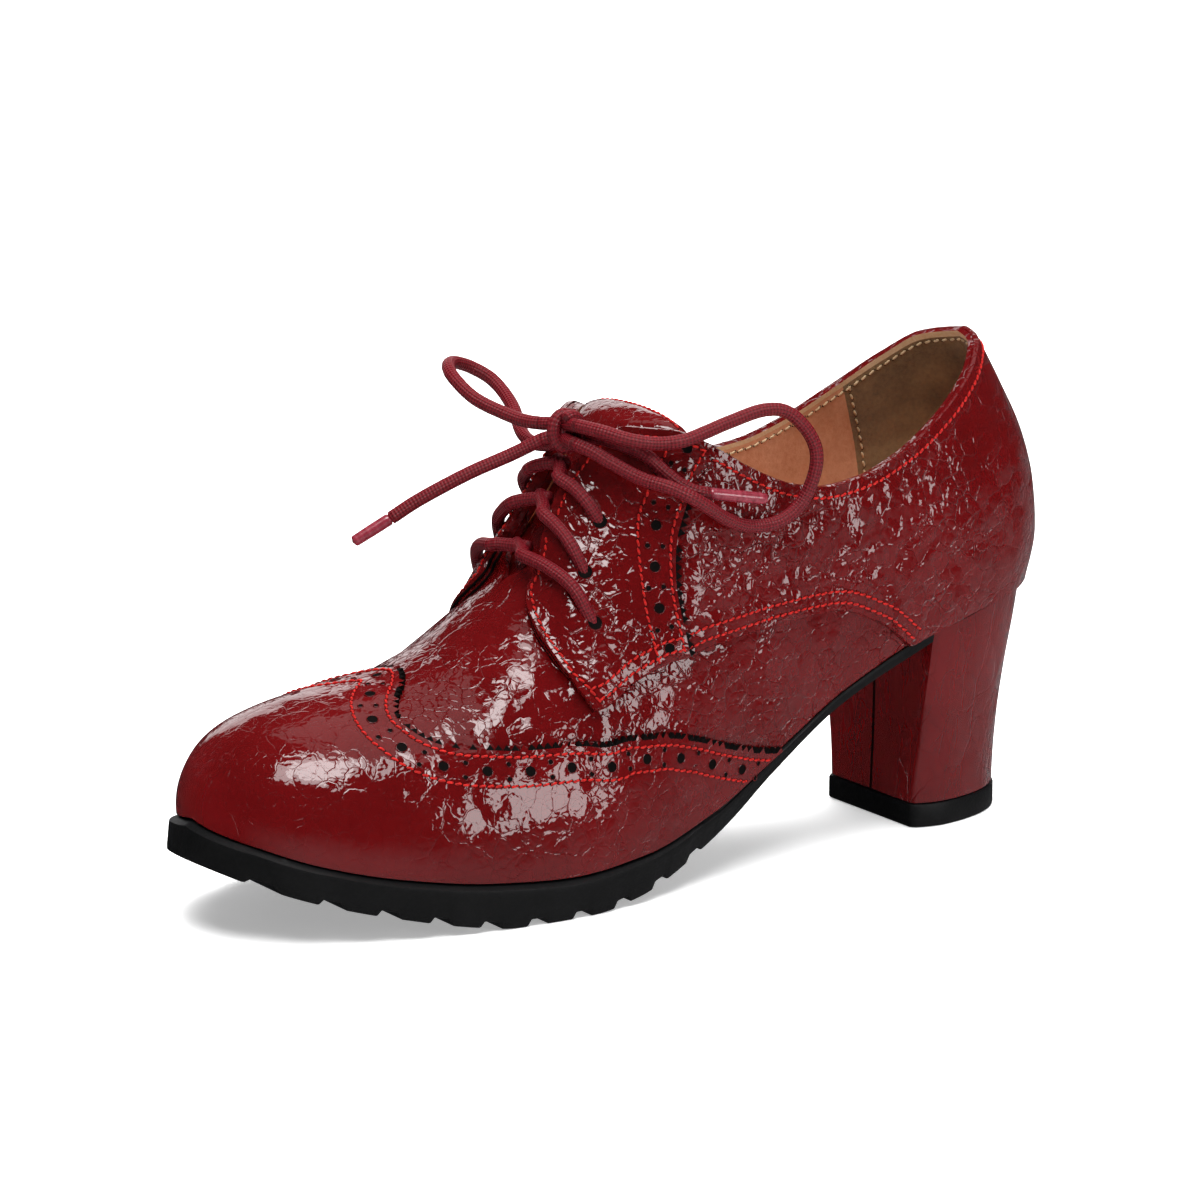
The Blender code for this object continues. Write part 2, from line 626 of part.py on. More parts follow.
POINT_EVERY = 2.55 * LACE


def build_bow():
    sphere = bmesh.new()
    bmesh.ops.create_uvsphere(sphere, u_segments=12, v_segments=8, radius=1)
    for vert in sphere.verts:
        vert.co = to_frame([[c + k * s for c, k, s in zip(KNOT, vert.co, KNOT_SIZE)]])[0]
    mesh = bpy.data.meshes.new("lace_knot")
    sphere.to_mesh(mesh)
    sphere.free()
    mesh.shade_smooth()
    add_object("lace_knot", mesh, CORD)
    for name, route in (("loop_right", LOOP_RIGHT), ("loop_left", LOOP_LEFT),
                        ("end_right", END_RIGHT), ("end_left", END_LEFT)):
        tube("lace_" + name, smooth_route(route, POINT_EVERY), LACE, CORD)
    for name, route, tip in (("aglet_right", END_RIGHT, TIP_RIGHT), ("aglet_left", END_LEFT, TIP_LEFT)):
        start, end = np.array(route[-1]), np.array(tip)
        start = start + (end - start) / np.linalg.norm(end - start) * TIP_GAP
        tube(name, [start, end], AGLET, TIP)


build_upper()
build_overlays()
build_tongue()
build_insole()
build_outsole()
build_heel()
build_crossings()
build_bow()
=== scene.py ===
import math

import bmesh
import bpy
import numpy as np
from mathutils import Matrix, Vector
from mathutils.geometry import delaunay_2d_cdt


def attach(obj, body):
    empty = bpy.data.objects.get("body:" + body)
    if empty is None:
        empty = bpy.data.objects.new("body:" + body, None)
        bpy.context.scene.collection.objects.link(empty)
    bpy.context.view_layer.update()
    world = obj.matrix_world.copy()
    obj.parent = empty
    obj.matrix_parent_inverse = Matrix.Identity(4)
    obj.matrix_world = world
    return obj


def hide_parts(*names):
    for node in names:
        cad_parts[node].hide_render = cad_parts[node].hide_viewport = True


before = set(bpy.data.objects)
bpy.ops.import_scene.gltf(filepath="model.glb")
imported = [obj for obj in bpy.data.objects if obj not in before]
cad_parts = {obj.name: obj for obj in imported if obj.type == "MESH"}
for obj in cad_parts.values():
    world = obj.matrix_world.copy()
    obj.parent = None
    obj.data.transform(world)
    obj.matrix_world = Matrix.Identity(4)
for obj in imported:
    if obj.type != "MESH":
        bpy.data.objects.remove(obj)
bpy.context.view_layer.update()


# The photographer's light table: a pale sheet that sweeps up behind the shoe and glows a little by itself,
# a painted glow with no lamp under it; one large soft box high over the camera, a low strip on its right,
# weak light from behind, and a dark room.
MM = 0.001


def linear(colour):
    """The linear colour of an sRGB hex value."""
    channels = [int(colour[i:i + 2], 16) / 255 for i in (1, 3, 5)]
    return tuple(c / 12.92 if c <= 0.04045 else ((c + 0.055) / 1.055) ** 2.4 for c in channels) + (1.0,)


def wire(tree, node, inputs):
    """Each input takes a value, an output, or another node for its first output; a list links several."""
    for name, value in inputs.items():
        for source in value if isinstance(value, list) else [value]:
            if isinstance(source, bpy.types.Node):
                source = source.outputs[0]
            if isinstance(source, bpy.types.NodeSocket):
                tree.links.new(source, node.inputs[name])
            else:
                node.inputs[name].default_value = source


def add(tree, kind, inputs=None, ramp=(), **settings):
    """One node with its settings and links; ramp gives the place and the colour of each stop."""
    node = tree.nodes.new(kind)
    for name, value in settings.items():
        setattr(node, name, value)
    for stop, (place, colour) in enumerate(ramp):
        node.color_ramp.elements[stop].position = place
        node.color_ramp.elements[stop].color = linear(colour)
    wire(tree, node, inputs or {})
    return node


def start_finish(name, **constants):
    """A new material, its tree and its shader, with the constants set on the shader's own sockets."""
    finish = bpy.data.materials.new(name)
    finish.use_nodes = True
    shader = finish.node_tree.nodes["Principled BSDF"]
    wire(finish.node_tree, shader, {socket.replace("_", " "): value for socket, value in constants.items()})
    return finish, finish.node_tree, shader


def link(obj):
    bpy.context.scene.collection.objects.link(obj)
    return obj


def mottled(name, fibre, dark, pale, **constants):
    """A fibrous finish whose colour is mottled at the fibre's size in mm."""
    finish, tree, shader = start_finish(name, **constants)
    where = add(tree, "ShaderNodeTexCoord").outputs["Object"]
    mottle = add(tree, "ShaderNodeTexNoise", {"Vector": where, "Scale": 1 / (fibre * MM)})
    tone = add(tree, "ShaderNodeValToRGB", {"Fac": mottle}, ramp=((0, dark), (1, pale)))
    wire(tree, shader, {"Base Color": tone})
    return finish


# Matt sheet: even, no gloss, a very faint fibre mottle, and a painted glow of its own that lightens shadows
paper = mottled("seamless_paper_painted_glow", 6, "#f3f3f3", "#f7f7f7", Roughness=0.9, Emission_Strength=0.36,
                Emission_Color=(1.0, 1.0, 1.0, 1.0))

LOOKS_AT = Vector((-0.00116, 0.00074, 0.050))


def bearing(turned, risen):
    """A direction by its turn from the lateral side, minus towards the toe, and its rise, in degrees."""
    turned, risen = math.radians(turned), math.radians(risen)
    return Vector((math.sin(turned) * math.cos(risen), -math.cos(turned) * math.cos(risen), math.sin(risen)))


def aim(placed, direction, distance):
    """A camera or lamp stands at a distance from the shoe and looks at it."""
    placed.location = LOOKS_AT + distance * direction
    placed.rotation_euler = (-direction).to_track_quat("-Z", "Y").to_euler()


CAMERA_TURN, CAMERA_RISE, CAMERA_AWAY = -32.74, 13.5, 1.303
to_camera = bearing(CAMERA_TURN, CAMERA_RISE)
lens = bpy.data.cameras.new("camera")
lens.lens, lens.sensor_width, lens.shift_x, lens.shift_y = 161.8, 36, -0.0125, 0.0475
camera = link(bpy.data.objects.new("camera", lens))
aim(camera, to_camera, CAMERA_AWAY)
bpy.context.scene.camera = camera

# The sheet lies flat under the shoe and rises in a quarter round 3.2 m behind it. The patent would
# mirror it as a white veil that the photograph doesn't have, so glossy rays pass through it
SHEET_FRONT, SHEET_BEND, SHEET_ROUND, SHEET_TOP, SHEET_HALF, BEND_STEPS = -3.0, 3.2, 0.8, 2.6, 3.6, 13
away = Vector((-to_camera.x, -to_camera.y, 0)).normalized()
aside = Vector((away.y, -away.x, 0))
profile = [(SHEET_FRONT, 0.0), (0.0, 0.0), (SHEET_BEND, 0.0)]
for step in np.linspace(0, math.pi / 2, BEND_STEPS)[1:]:
    profile.append((SHEET_BEND + SHEET_ROUND * math.sin(step), SHEET_ROUND * (1 - math.cos(step))))
profile.append((SHEET_BEND + SHEET_ROUND, SHEET_TOP))
corners = [away * d + aside * s + Vector((0, 0, z)) for d, z in profile for s in (-SHEET_HALF, SHEET_HALF)]
sheet = bpy.data.meshes.new("seamless_sheet")
sheet.from_pydata(corners, [], [(2 * i, 2 * i + 1, 2 * i + 3, 2 * i + 2) for i in range(len(profile) - 1)])
sheet.materials.append(paper)
sheet.shade_smooth()
ground = link(bpy.data.objects.new("seamless_sheet", sheet))
ground.visible_glossy = False

# Each light: turn, rise, distance, width, height, watts
LIGHTS = {"soft_box": (-32, 64, 1.5, 1.12, 0.9, 10.5),
          "soft_box_core": (-32, 64, 1.46, 0.8, 0.6, 4.2),
          "right_strip": (24, 14, 1.6, 0.56, 0.72, 5.2),
          "back_strip": (156, 14, 1.9, 1.5, 0.7, 4.2),
          "ceiling_sheet": (100, 70, 2.2, 2.4, 1.6, 5.5)}
for name, (turned, risen, distance, width, height, watts) in LIGHTS.items():
    lamp = bpy.data.lights.new(name, "AREA")
    lamp.shape = "ELLIPSE" if "box" in name else "RECTANGLE"
    lamp.size, lamp.size_y, lamp.energy = width, height, watts
    aim(link(bpy.data.objects.new(name, lamp)), bearing(turned, risen), distance)

# Wide banks overhead and over the far part of the sheet keep the ground white up to the top of the picture
# and its shadow thin: distance behind the shoe, height, size, watts
BANKS = {"overhead_bank": (0.35, 2.1, 2.6, 72.0), "sheet_bank": (1.6, 2.3, 2.4, 95.0)}
for name, (distance, high, size, watts) in BANKS.items():
    bank = bpy.data.lights.new(name, "AREA")
    bank.size, bank.energy = size, watts
    placed = link(bpy.data.objects.new(name, bank))
    placed.location = away * distance + Vector((0, 0, high))
    placed.visible_glossy = False

# The room is dark, apart from a mid grey below the table's edge on the lit side
TABLE_EDGE, LIT_SIDE, LIT_FROM = -0.32, (0.62, -0.78, 0.0), -0.55
room = bpy.data.worlds.new("dark_room")
room.use_nodes = True
tree = room.node_tree
sky = add(tree, "ShaderNodeTexCoord").outputs["Generated"]
parts = add(tree, "ShaderNodeSeparateXYZ", {"Vector": sky})
low_part = add(tree, "ShaderNodeMapRange", {"Value": parts.outputs["Z"], "From Min": TABLE_EDGE,
                                            "From Max": 0.0, "To Min": 1.0, "To Max": 0.0})
toward = add(tree, "ShaderNodeVectorMath", {0: sky, 1: LIT_SIDE}, operation="DOT_PRODUCT")
lit_part = add(tree, "ShaderNodeMapRange", {"Value": toward.outputs["Value"], "From Min": LIT_FROM,
                                            "From Max": 0.0})
grey_part = add(tree, "ShaderNodeMath", {0: low_part, 1: lit_part}, operation="MULTIPLY")
shade = add(tree, "ShaderNodeValToRGB", {"Fac": grey_part}, ramp=((0, "#2c2c2e"), (1, "#8e8e90")))
wire(tree, tree.nodes["Background"], {"Color": shade})
bpy.context.scene.world = room
bpy.context.scene.view_settings.view_transform = "Standard"


# The upper: a lasted shell of red crinkled patent leather, lined with tan calf and, round the heel, with
# suede. Everything above the sole is drawn on the same last: a station from the toe in mm, and a share up
# the side.
LATERAL, MEDIAL = -1, 1
LAST_LENGTH = 232.0
FRAME_MIDDLE, FRAME_SIDE = 116.16, -0.74


def turn(from_toe):
    """Station angle from 0 to 1, so that stations crowd at the round toe and heel."""
    return np.arccos(np.clip(1 - 2 * np.asarray(from_toe, float) / LAST_LENGTH, -1, 1)) / math.pi


def unturn(angle):
    return LAST_LENGTH * (1 - np.cos(math.pi * np.asarray(angle, float))) / 2


def flow(xs, ys, at):
    """Monotone cubic through the rows, which never overshoots them."""
    xs, ys = np.asarray(xs, float), np.asarray(ys, float)
    step = np.diff(xs)
    rise = np.diff(ys) / step
    slope = np.zeros(len(xs))
    slope[0], slope[-1] = rise[0], rise[-1]
    for i in range(1, len(xs) - 1):
        if rise[i - 1] * rise[i] > 0:
            before, after = 2 * step[i] + step[i - 1], step[i] + 2 * step[i - 1]
            slope[i] = (before + after) / (before / rise[i - 1] + after / rise[i])
    at = np.clip(np.asarray(at, float), xs[0], xs[-1])
    i = np.clip(np.searchsorted(xs, at) - 1, 0, len(xs) - 2)
    t = (at - xs[i]) / step[i]
    return ((1 + 2 * t) * (1 - t) ** 2 * ys[i] + t * (1 - t) ** 2 * step[i] * slope[i]
            + t * t * (3 - 2 * t) * ys[i + 1] + t * t * (t - 1) * step[i] * slope[i + 1])


class Table:
    """Rows with named columns, read by the first of them."""

    def __init__(self, names, rows, by_turn=False):
        self.names = names.split()
        self.rows = np.array(rows, float)
        self.key = turn if by_turn else np.asarray

    def at(self, name, place):
        column = self.rows[:, self.names.index(name)]
        return flow(self.key(self.rows[:, 0]), column, self.key(place))


FEATHER = Table("from_toe lateral medial height", [
    (0, 0, 0, 26.8), (6, 16.8, 17.8, 23.3), (18, 27.2, 28.2, 19), (36, 34.3, 34.6, 14.8),
    (58, 38.6, 38.2, 11.7), (78, 39.8, 37.6, 10.5), (98, 37.6, 33.6, 12), (120, 32.6, 27.6, 17.5),
    (142, 28.4, 24.3, 28), (165, 26.2, 24, 41), (190, 25.6, 25, 51.5), (212, 22.6, 22.5, 56.8),
    (226, 14, 14, 58.6), (232, 0, 0, 59)], by_turn=True)
TOPLINE = Table("from_toe half height", [
    (0, 0, 26.8), (3, 0, 37), (10, 0, 44.5), (24, 0, 48.9), (40, 0, 51.4), (52, 0, 53.6), (62, 0, 57.9),
    (72, 0, 64.3), (82, 0, 71.9), (85, 1.5, 74.6), (87.5, 5.5, 76.8), (90, 7.2, 80), (93.5, 6, 86.3),
    (98, 4.6, 94.4), (102, 5.4, 100.2), (106, 7.5, 105.4), (111, 13, 109.2), (117, 19.5, 109),
    (126, 24, 105), (137, 26, 98.5), (148, 27, 93.8), (158, 27, 92.3), (170, 26.5, 93.5),
    (184, 25.3, 97.5), (200, 22.8, 104.5), (216, 17.8, 113), (226, 11, 118.8), (232, 0, 121)], by_turn=True)
FULLNESS = Table("from_toe low_out low_up high_out high_down", [
    (0, 1.5, 0.55, 0.60, 0), (40, 2.5, 0.55, 0.62, 0), (76, 2.5, 0.50, 0.52, 0), (90, 2.2, 0.47, 0.40, 0.08),
    (104, 2, 0.45, 0.28, 0.14), (120, 2.2, 0.42, 0.18, 0.22), (140, 3, 0.40, 0.13, 0.30),
    (165, 3.5, 0.40, 0.12, 0.35), (190, 4, 0.40, 0.12, 0.35), (232, 3, 0.40, 0.12, 0.35)], by_turn=True)
BACK = Table("share_of_height shift", [(0, 0), (0.2, 2.3), (0.4, 1.4), (0.6, -1.8), (0.8, -7.8), (1, -14.8)])
BACK_FROM = 150.0
FRONT = Table("height shift", [(0, 0), (6, 0.2), (12, 0.5), (18, 0.8), (26, 1)])
FRONT_TO = 40.0
ROUND_END = 15.0


def last_point(from_toe, share, side):
    """A point of the last: share runs up the side from the feather edge (0) to the top (1)."""
    d, v = np.broadcast_arrays(np.asarray(from_toe, float), np.asarray(share, float))
    foot = FEATHER.at("lateral" if side == LATERAL else "medial", d)
    low = FEATHER.at("height", d)
    half = TOPLINE.at("half", d)
    tall = TOPLINE.at("height", d) - low
    low_out = foot + FULLNESS.at("low_out", d) * np.minimum(1, foot / ROUND_END)
    high_out = half + FULLNESS.at("high_out", d) * foot
    b0, b1, b2, b3 = (1 - v) ** 3, 3 * v * (1 - v) ** 2, 3 * v * v * (1 - v), v ** 3
    out = b0 * foot + b1 * low_out + b2 * high_out + b3 * half
    rise = b1 * FULLNESS.at("low_up", d) + b2 * (1 - FULLNESS.at("high_down", d)) + b3
    at_back = np.clip((d - BACK_FROM) / (LAST_LENGTH - BACK_FROM), 0, 1) ** 1.5
    at_front = np.clip(1 - d / FRONT_TO, 0, 1) ** 2
    shift = BACK.at("shift", rise) * at_back + FRONT.at("shift", rise * tall) * at_front
    return np.stack([d + shift, side * out, low + rise * tall], -1)


def last_slopes(from_toe, share, side):
    """How the last runs for a small step along and a small step up."""
    step = 0.002
    d, v = np.broadcast_arrays(np.asarray(from_toe, float), np.asarray(share, float))
    angle = np.clip(turn(d), 2 * step, 1 - 2 * step)
    up = np.clip(v, 2 * step, 1 - 2 * step)
    along = last_point(unturn(angle + step), up, side) - last_point(unturn(angle - step), up, side)
    across = last_point(unturn(angle), up + step, side) - last_point(unturn(angle), up - step, side)
    return along / (2 * step), across / (2 * step)


def unit(ways):
    return ways / np.linalg.norm(ways, axis=-1, keepdims=True)


def last_normal(from_toe, share, side):
    """Outward direction of the last, kept in the middle plane along the ridge and the back seam."""
    along, across = last_slopes(from_toe, share, side)
    normal = np.cross(along, across) * -side
    in_middle = np.abs(last_point(from_toe, share, side)[..., 1]) < 1e-6
    normal[..., 1] = np.where(in_middle, 0, normal[..., 1])
    return unit(normal)


# Soft troughs (minus) and ridges (plus) that lasting and wear leave in the leather, in mm:
# from_toe, share, side (0 on both), half length, half width, lean in degrees, rise
CREASES = [(66, 0.80, 0, 13, 2.6, 62, -0.35), (71, 0.66, 0, 12, 2.4, 52, 0.25),
           (62, 0.62, 0, 11, 2.6, 70, -0.30), (76, 0.52, 0, 10, 2.8, 35, -0.28),
           (140, 0.62, LATERAL, 20, 4.5, 14, -0.40), (146, 0.76, LATERAL, 17, 4.0, 8, 0.30),
           (165, 0.55, LATERAL, 16, 4.5, -20, -0.35), (150, 0.66, MEDIAL, 20, 4.5, 10, -0.40),
           (168, 0.50, MEDIAL, 15, 4.2, -16, 0.30), (205, 0.34, 0, 14, 4.0, 10, -0.30),
           (214, 0.58, 0, 12, 4.0, -12, 0.25), (112, 0.16, 0, 16, 3.0, 6, -0.25),
           (126, 0.30, 0, 15, 3.2, 12, 0.25), (98, 0.16, 0, 12, 2.8, -8, 0.22)]
SIDE_HEIGHT = 80.0         # what a share of one measures up the side, about


def creased(from_toe, share, side):
    """How far the leather stands in or out at a place."""
    d, v = np.broadcast_arrays(np.asarray(from_toe, float), np.asarray(share, float))
    total = np.zeros(d.shape)
    for at, up, on, half_long, half_wide, lean, rise in CREASES:
        if on in (0, side):
            along, across = d - at, (v - up) * SIDE_HEIGHT
            c, s = math.cos(math.radians(lean)), math.sin(math.radians(lean))
            total += rise * np.exp(-((along * c + across * s) / half_long) ** 2
                                   - ((across * c - along * s) / half_wide) ** 2)
    return total


def skin(from_toe, share, side, lift):
    """A point at a distance over the last, with the leather's creases."""
    lift = np.asarray(lift + creased(from_toe, share, side))
    return last_point(from_toe, share, side) + lift[..., None] * last_normal(from_toe, share, side)


def to_frame(points):
    """Shoe measures in mm to the model's frame in metres."""
    return (np.asarray(points, float) - (FRAME_MIDDLE, FRAME_SIDE, 0)) * MM


MERGED, FLAT_FACE = 0.004, 0.002


def piece(name, points, faces, finishes, finish_of=None, numbers=None, sharp=50):
    """A smooth mesh object from points in mm, its doubles merged, with its finishes and points' numbers."""
    mesh = bpy.data.meshes.new(name)
    mesh.from_pydata(to_frame(points).tolist(), [], [tuple(int(i) for i in face) for face in faces])
    for finish in finishes:
        mesh.materials.append(finish)
    if finish_of is not None:
        mesh.polygons.foreach_set("material_index", np.asarray(finish_of, np.int32))
    for key, values in (numbers or {}).items():
        mesh.attributes.new(key, "FLOAT", "POINT").data.foreach_set("value", np.asarray(values, np.float32))
    work = bmesh.new()
    work.from_mesh(mesh)
    bmesh.ops.remove_doubles(work, verts=work.verts, dist=MERGED * MM)
    bmesh.ops.dissolve_degenerate(work, edges=work.edges, dist=FLAT_FACE * MM)
    work.to_mesh(mesh)
    work.free()
    mesh.shade_smooth()
    mesh.set_sharp_from_angle(angle=math.radians(sharp))
    return link(bpy.data.objects.new(name, mesh))


def fasten(made, slot, *nodes):
    """The piece goes with the shoe and stands for its solids, which it hides; the slot is not used."""
    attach(made, "root")
    if nodes:
        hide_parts(*nodes)
    return made


# Sizes of the crinkle in mm: the cockle and the ripple with their rises, how the plates' borders wander,
# and the patches where cracks are more or less often seen; then the clouds in the dye
COCKLE, COCKLE_RISE, RIPPLE, RIPPLE_RISE = 9, 0.75, 2.8, 0.8
WANDER, WANDER_BY, PATCH, DYE_CLOUD = 4, 3.2, 12, 22
# each size of plate: width, how steeply it may lean, half width and depth of its cracks
PLATES = ((5.0, 0.09, 0.26, 0.095), (2.3, 0.05, 0.75, 0.08))
RIPPLE_DRAWN, MID_COLOUR = (1.0, 1.0, 0.5), (0.5, 0.5, 0.5)


def patent_leather(name, stretch):
    """Red crinkled patent: a hard clear coat over dyed hide, drummed until it broke into nearly flush plates
    with thin cracks between them, over a gentle cockle. The number crinkle is how much of that shows at a
    place, and the number ripple lets an upright ripple show; stretch draws the plates out along an axis."""
    finish, tree, shader = start_finish(name, Roughness=0.5, Specular_IOR_Level=0.0, Coat_Weight=1.0,
                                        Coat_Roughness=0.05, Coat_IOR=1.7)
    where = add(tree, "ShaderNodeTexCoord").outputs["Object"]
    drawn = add(tree, "ShaderNodeVectorMath", {0: where, 1: stretch}, operation="MULTIPLY")
    drift = add(tree, "ShaderNodeTexNoise", {"Vector": drawn, "Scale": 1 / (WANDER * MM), "Detail": 2.0})
    centred = add(tree, "ShaderNodeVectorMath", {0: drift.outputs["Color"], 1: MID_COLOUR},
                  operation="SUBTRACT")
    pulled = add(tree, "ShaderNodeVectorMath", {0: centred, "Scale": WANDER_BY * MM}, operation="SCALE")
    warped = add(tree, "ShaderNodeVectorMath", {0: drawn, 1: pulled}, operation="ADD")
    cockle = add(tree, "ShaderNodeTexNoise", {"Vector": drawn, "Scale": 1 / (COCKLE * MM), "Detail": 1.5})
    height = add(tree, "ShaderNodeMath", {0: cockle, 1: COCKLE_RISE * MM}, operation="MULTIPLY")
    upright = add(tree, "ShaderNodeVectorMath", {0: where, 1: RIPPLE_DRAWN}, operation="MULTIPLY")
    waves = add(tree, "ShaderNodeTexNoise", {"Vector": upright, "Scale": 1 / (RIPPLE * MM), "Detail": 0.6})
    ripple = add(tree, "ShaderNodeAttribute", attribute_name="ripple").outputs["Fac"]
    swell = add(tree, "ShaderNodeMath", {0: waves, 1: ripple}, operation="MULTIPLY")
    height = add(tree, "ShaderNodeMath", {0: swell, 1: RIPPLE_RISE * MM, 2: height}, operation="MULTIPLY_ADD")
    patchy = add(tree, "ShaderNodeTexNoise", {"Vector": drawn, "Scale": 1 / (PATCH * MM), "Detail": 1.0})
    often = add(tree, "ShaderNodeMapRange", {"Value": patchy, "From Min": 0.4, "From Max": 0.58,
                                             "To Min": 0.2})
    for plate, lean, wide, deep in PLATES:
        grid = {"Vector": warped, "Scale": 1 / (plate * MM)}
        cells = add(tree, "ShaderNodeTexVoronoi", grid).outputs
        offset = add(tree, "ShaderNodeVectorMath", {0: warped, 1: cells["Position"]}, operation="SUBTRACT")
        leaning = add(tree, "ShaderNodeVectorMath", {0: cells["Color"], 1: MID_COLOUR}, operation="SUBTRACT")
        plane = add(tree, "ShaderNodeVectorMath", {0: leaning, 1: offset}, operation="DOT_PRODUCT")
        height = add(tree, "ShaderNodeMath", {0: plane.outputs["Value"], 1: 2 * lean, 2: height},
                     operation="MULTIPLY_ADD")
        borders = add(tree, "ShaderNodeTexVoronoi", grid, feature="DISTANCE_TO_EDGE")
        crack = add(tree, "ShaderNodeMapRange", {"Value": borders, "From Max": wide / plate,
                                                 "To Min": -deep * MM, "To Max": 0.0},
                    interpolation_type="SMOOTHSTEP")
        height = add(tree, "ShaderNodeMath", {0: crack, 1: often, 2: height}, operation="MULTIPLY_ADD")
    crinkle = add(tree, "ShaderNodeAttribute", attribute_name="crinkle").outputs["Fac"]
    shown = add(tree, "ShaderNodeMath", {0: height, 1: crinkle}, operation="MULTIPLY")
    dents = add(tree, "ShaderNodeBump", {"Height": shown, "Distance": 1.0, "Strength": 1.0})
    cloud = add(tree, "ShaderNodeTexNoise", {"Vector": where, "Scale": 1 / (DYE_CLOUD * MM), "Detail": 3.0})
    dye = add(tree, "ShaderNodeValToRGB", {"Fac": cloud}, ramp=((0.3, "#4e0607"), (0.7, "#58080a")))
    wire(tree, shader, {"Base Color": dye, "Normal": dents, "Coat Normal": dents})
    return finish


# The hide of the upper and its panels: dark red under a mirror gloss that the cracks break up
patent = patent_leather("red_crinkled_patent_leather", (1, 1, 1))

# Black edge dye on a cut leather edge: matt, a little fibrous. The same black is painted shade in the
# needle holes, punched holes and lace holes, under the panels and their rolled edges, and under the heel's
# seat
edge_dye_and_painted_shade = mottled("black_edge_dye_and_painted_shade", 0.7, "#030202", "#0c0706", Roughness=0.8,
                   Specular_IOR_Level=0.1)

HIDE_CLOUD, NAP = 13, 0.25


def lining_leather(name, pale, dark, grain, roughness, sheen):
    """A lining hide: mottled colour, and pores or nap at the grain's size in mm."""
    finish, tree, shader = start_finish(name, Roughness=roughness, Sheen_Weight=sheen, Sheen_Roughness=0.5)
    where = add(tree, "ShaderNodeTexCoord").outputs["Object"]
    cloud = add(tree, "ShaderNodeTexNoise", {"Vector": where, "Scale": 1 / (HIDE_CLOUD * MM), "Detail": 4.0})
    pores = add(tree, "ShaderNodeTexNoise", {"Vector": where, "Scale": 1 / (grain * MM), "Detail": 5.0,
                                             "Roughness": 0.65})
    blend = add(tree, "ShaderNodeMath", {0: pores, 1: 0.6, 2: cloud}, operation="MULTIPLY_ADD")
    tone = add(tree, "ShaderNodeValToRGB", {"Fac": blend}, ramp=((0.55, dark), (1, pale)))
    nap = add(tree, "ShaderNodeBump", {"Height": pores, "Distance": NAP * MM, "Strength": 0.7})
    wire(tree, shader, {"Base Color": tone, "Normal": nap})
    return finish


# Calf lining, smooth and dry; suede round the heel, napped, darker; the pale binding of the top edge
calf = lining_leather("tan_calf_lining", "#d49d7c", "#b87e5c", 1.3, 0.55, 0.0)
suede = lining_leather("olive_tan_suede", "#8c6f48", "#5f4828", 0.9, 0.95, 0.35)
binding = lining_leather("beige_binding_leather", "#d9bd98", "#c09c72", 0.8, 0.6, 0.0)

CRINKLE = Table("from_toe amount", [(0, 0.24), (22, 0.38), (36, 0.6), (50, 0.9), (66, 1.0), (100, 1.0),
                                    (190, 1.0), (232, 0.85)])
WALL = 1.4
COUNTER_FROM = 203.8       # the suede counter lining starts at a seam here
COLLAR_FROM = 127.0        # behind the facings the top edge is bound
BINDING_FROM = 0.977
WALL_LONG, WALL_TALL = 190, 40
wall_stations = np.unique(np.concatenate([unturn(np.linspace(0, 1, WALL_LONG)), [COUNTER_FROM]]))
wall_shares = np.unique(np.append(np.linspace(0, 1, WALL_TALL), BINDING_FROM))
grid_d, grid_v = np.meshgrid(wall_stations, wall_shares, indexing="ij")
rows, columns = grid_d.shape
deep = rows * columns
points, faces, kinds, places = [], [], [], []
for side in (LATERAL, MEDIAL):
    start = len(points)
    points += list(skin(grid_d, grid_v, side, 0.0).reshape(-1, 3))
    points += list(skin(grid_d, grid_v, side, -WALL).reshape(-1, 3))
    places += list(grid_d.reshape(-1)) * 2
    for i in range(rows - 1):
        for j in range(columns - 1):
            a, b = start + i * columns + j, start + (i + 1) * columns + j
            outer = (a, b, b + 1, a + 1) if side == LATERAL else (a, a + 1, b + 1, b)
            faces += [outer, tuple(k + deep for k in outer[::-1])]
            bound = wall_shares[j] >= BINDING_FROM and wall_stations[i] > COLLAR_FROM
            kinds += [0, 3 if bound else 2 if wall_stations[i] >= COUNTER_FROM else 1]
    for i in range(rows - 1):
        for j, lower in ((0, True), (columns - 1, False)):
            a, b = start + i * columns + j, start + (i + 1) * columns + j
            if not lower and points[a][1] == 0 and points[b][1] == 0:
                continue
            rim = (b, a, a + deep, b + deep)
            faces.append(rim if lower == (side == LATERAL) else rim[::-1])
            kinds.append(0)
fasten(piece("upper_and_lining", points, faces, [patent, calf, suede, binding], kinds,
             {"crinkle": CRINKLE.at("amount", np.array(places))}), "patent", "upper")


# The tongue: one tab of the same patent, skived and lined, sewn under the vamp and open along its sides.
# It lies on the instep under the facings and stands a little over them.
TONGUE, TONGUE_LIFT = 2.0, -WALL - 0.6
TONGUE_FROM, TONGUE_TO, TONGUE_CORNER = 78.0, 122.0, 2.4
TONGUE_TOP_SKIVED, TONGUE_SIDE_SKIVED, TONGUE_CRINKLE = 0.6, 0.5, 0.55
GAP_SHARE = 0.4            # part of the width across that lies between the facings
ARCH = 0.13                # how far the facings' slope carries over the gap
NEAR_TOP = 0.97            # that slope is read from here to the top
TONGUE_REACH = Table("from_toe low", [(78, 0.84), (95, 0.80), (108, 0.84), (116, 0.94), (122, 0.985)])


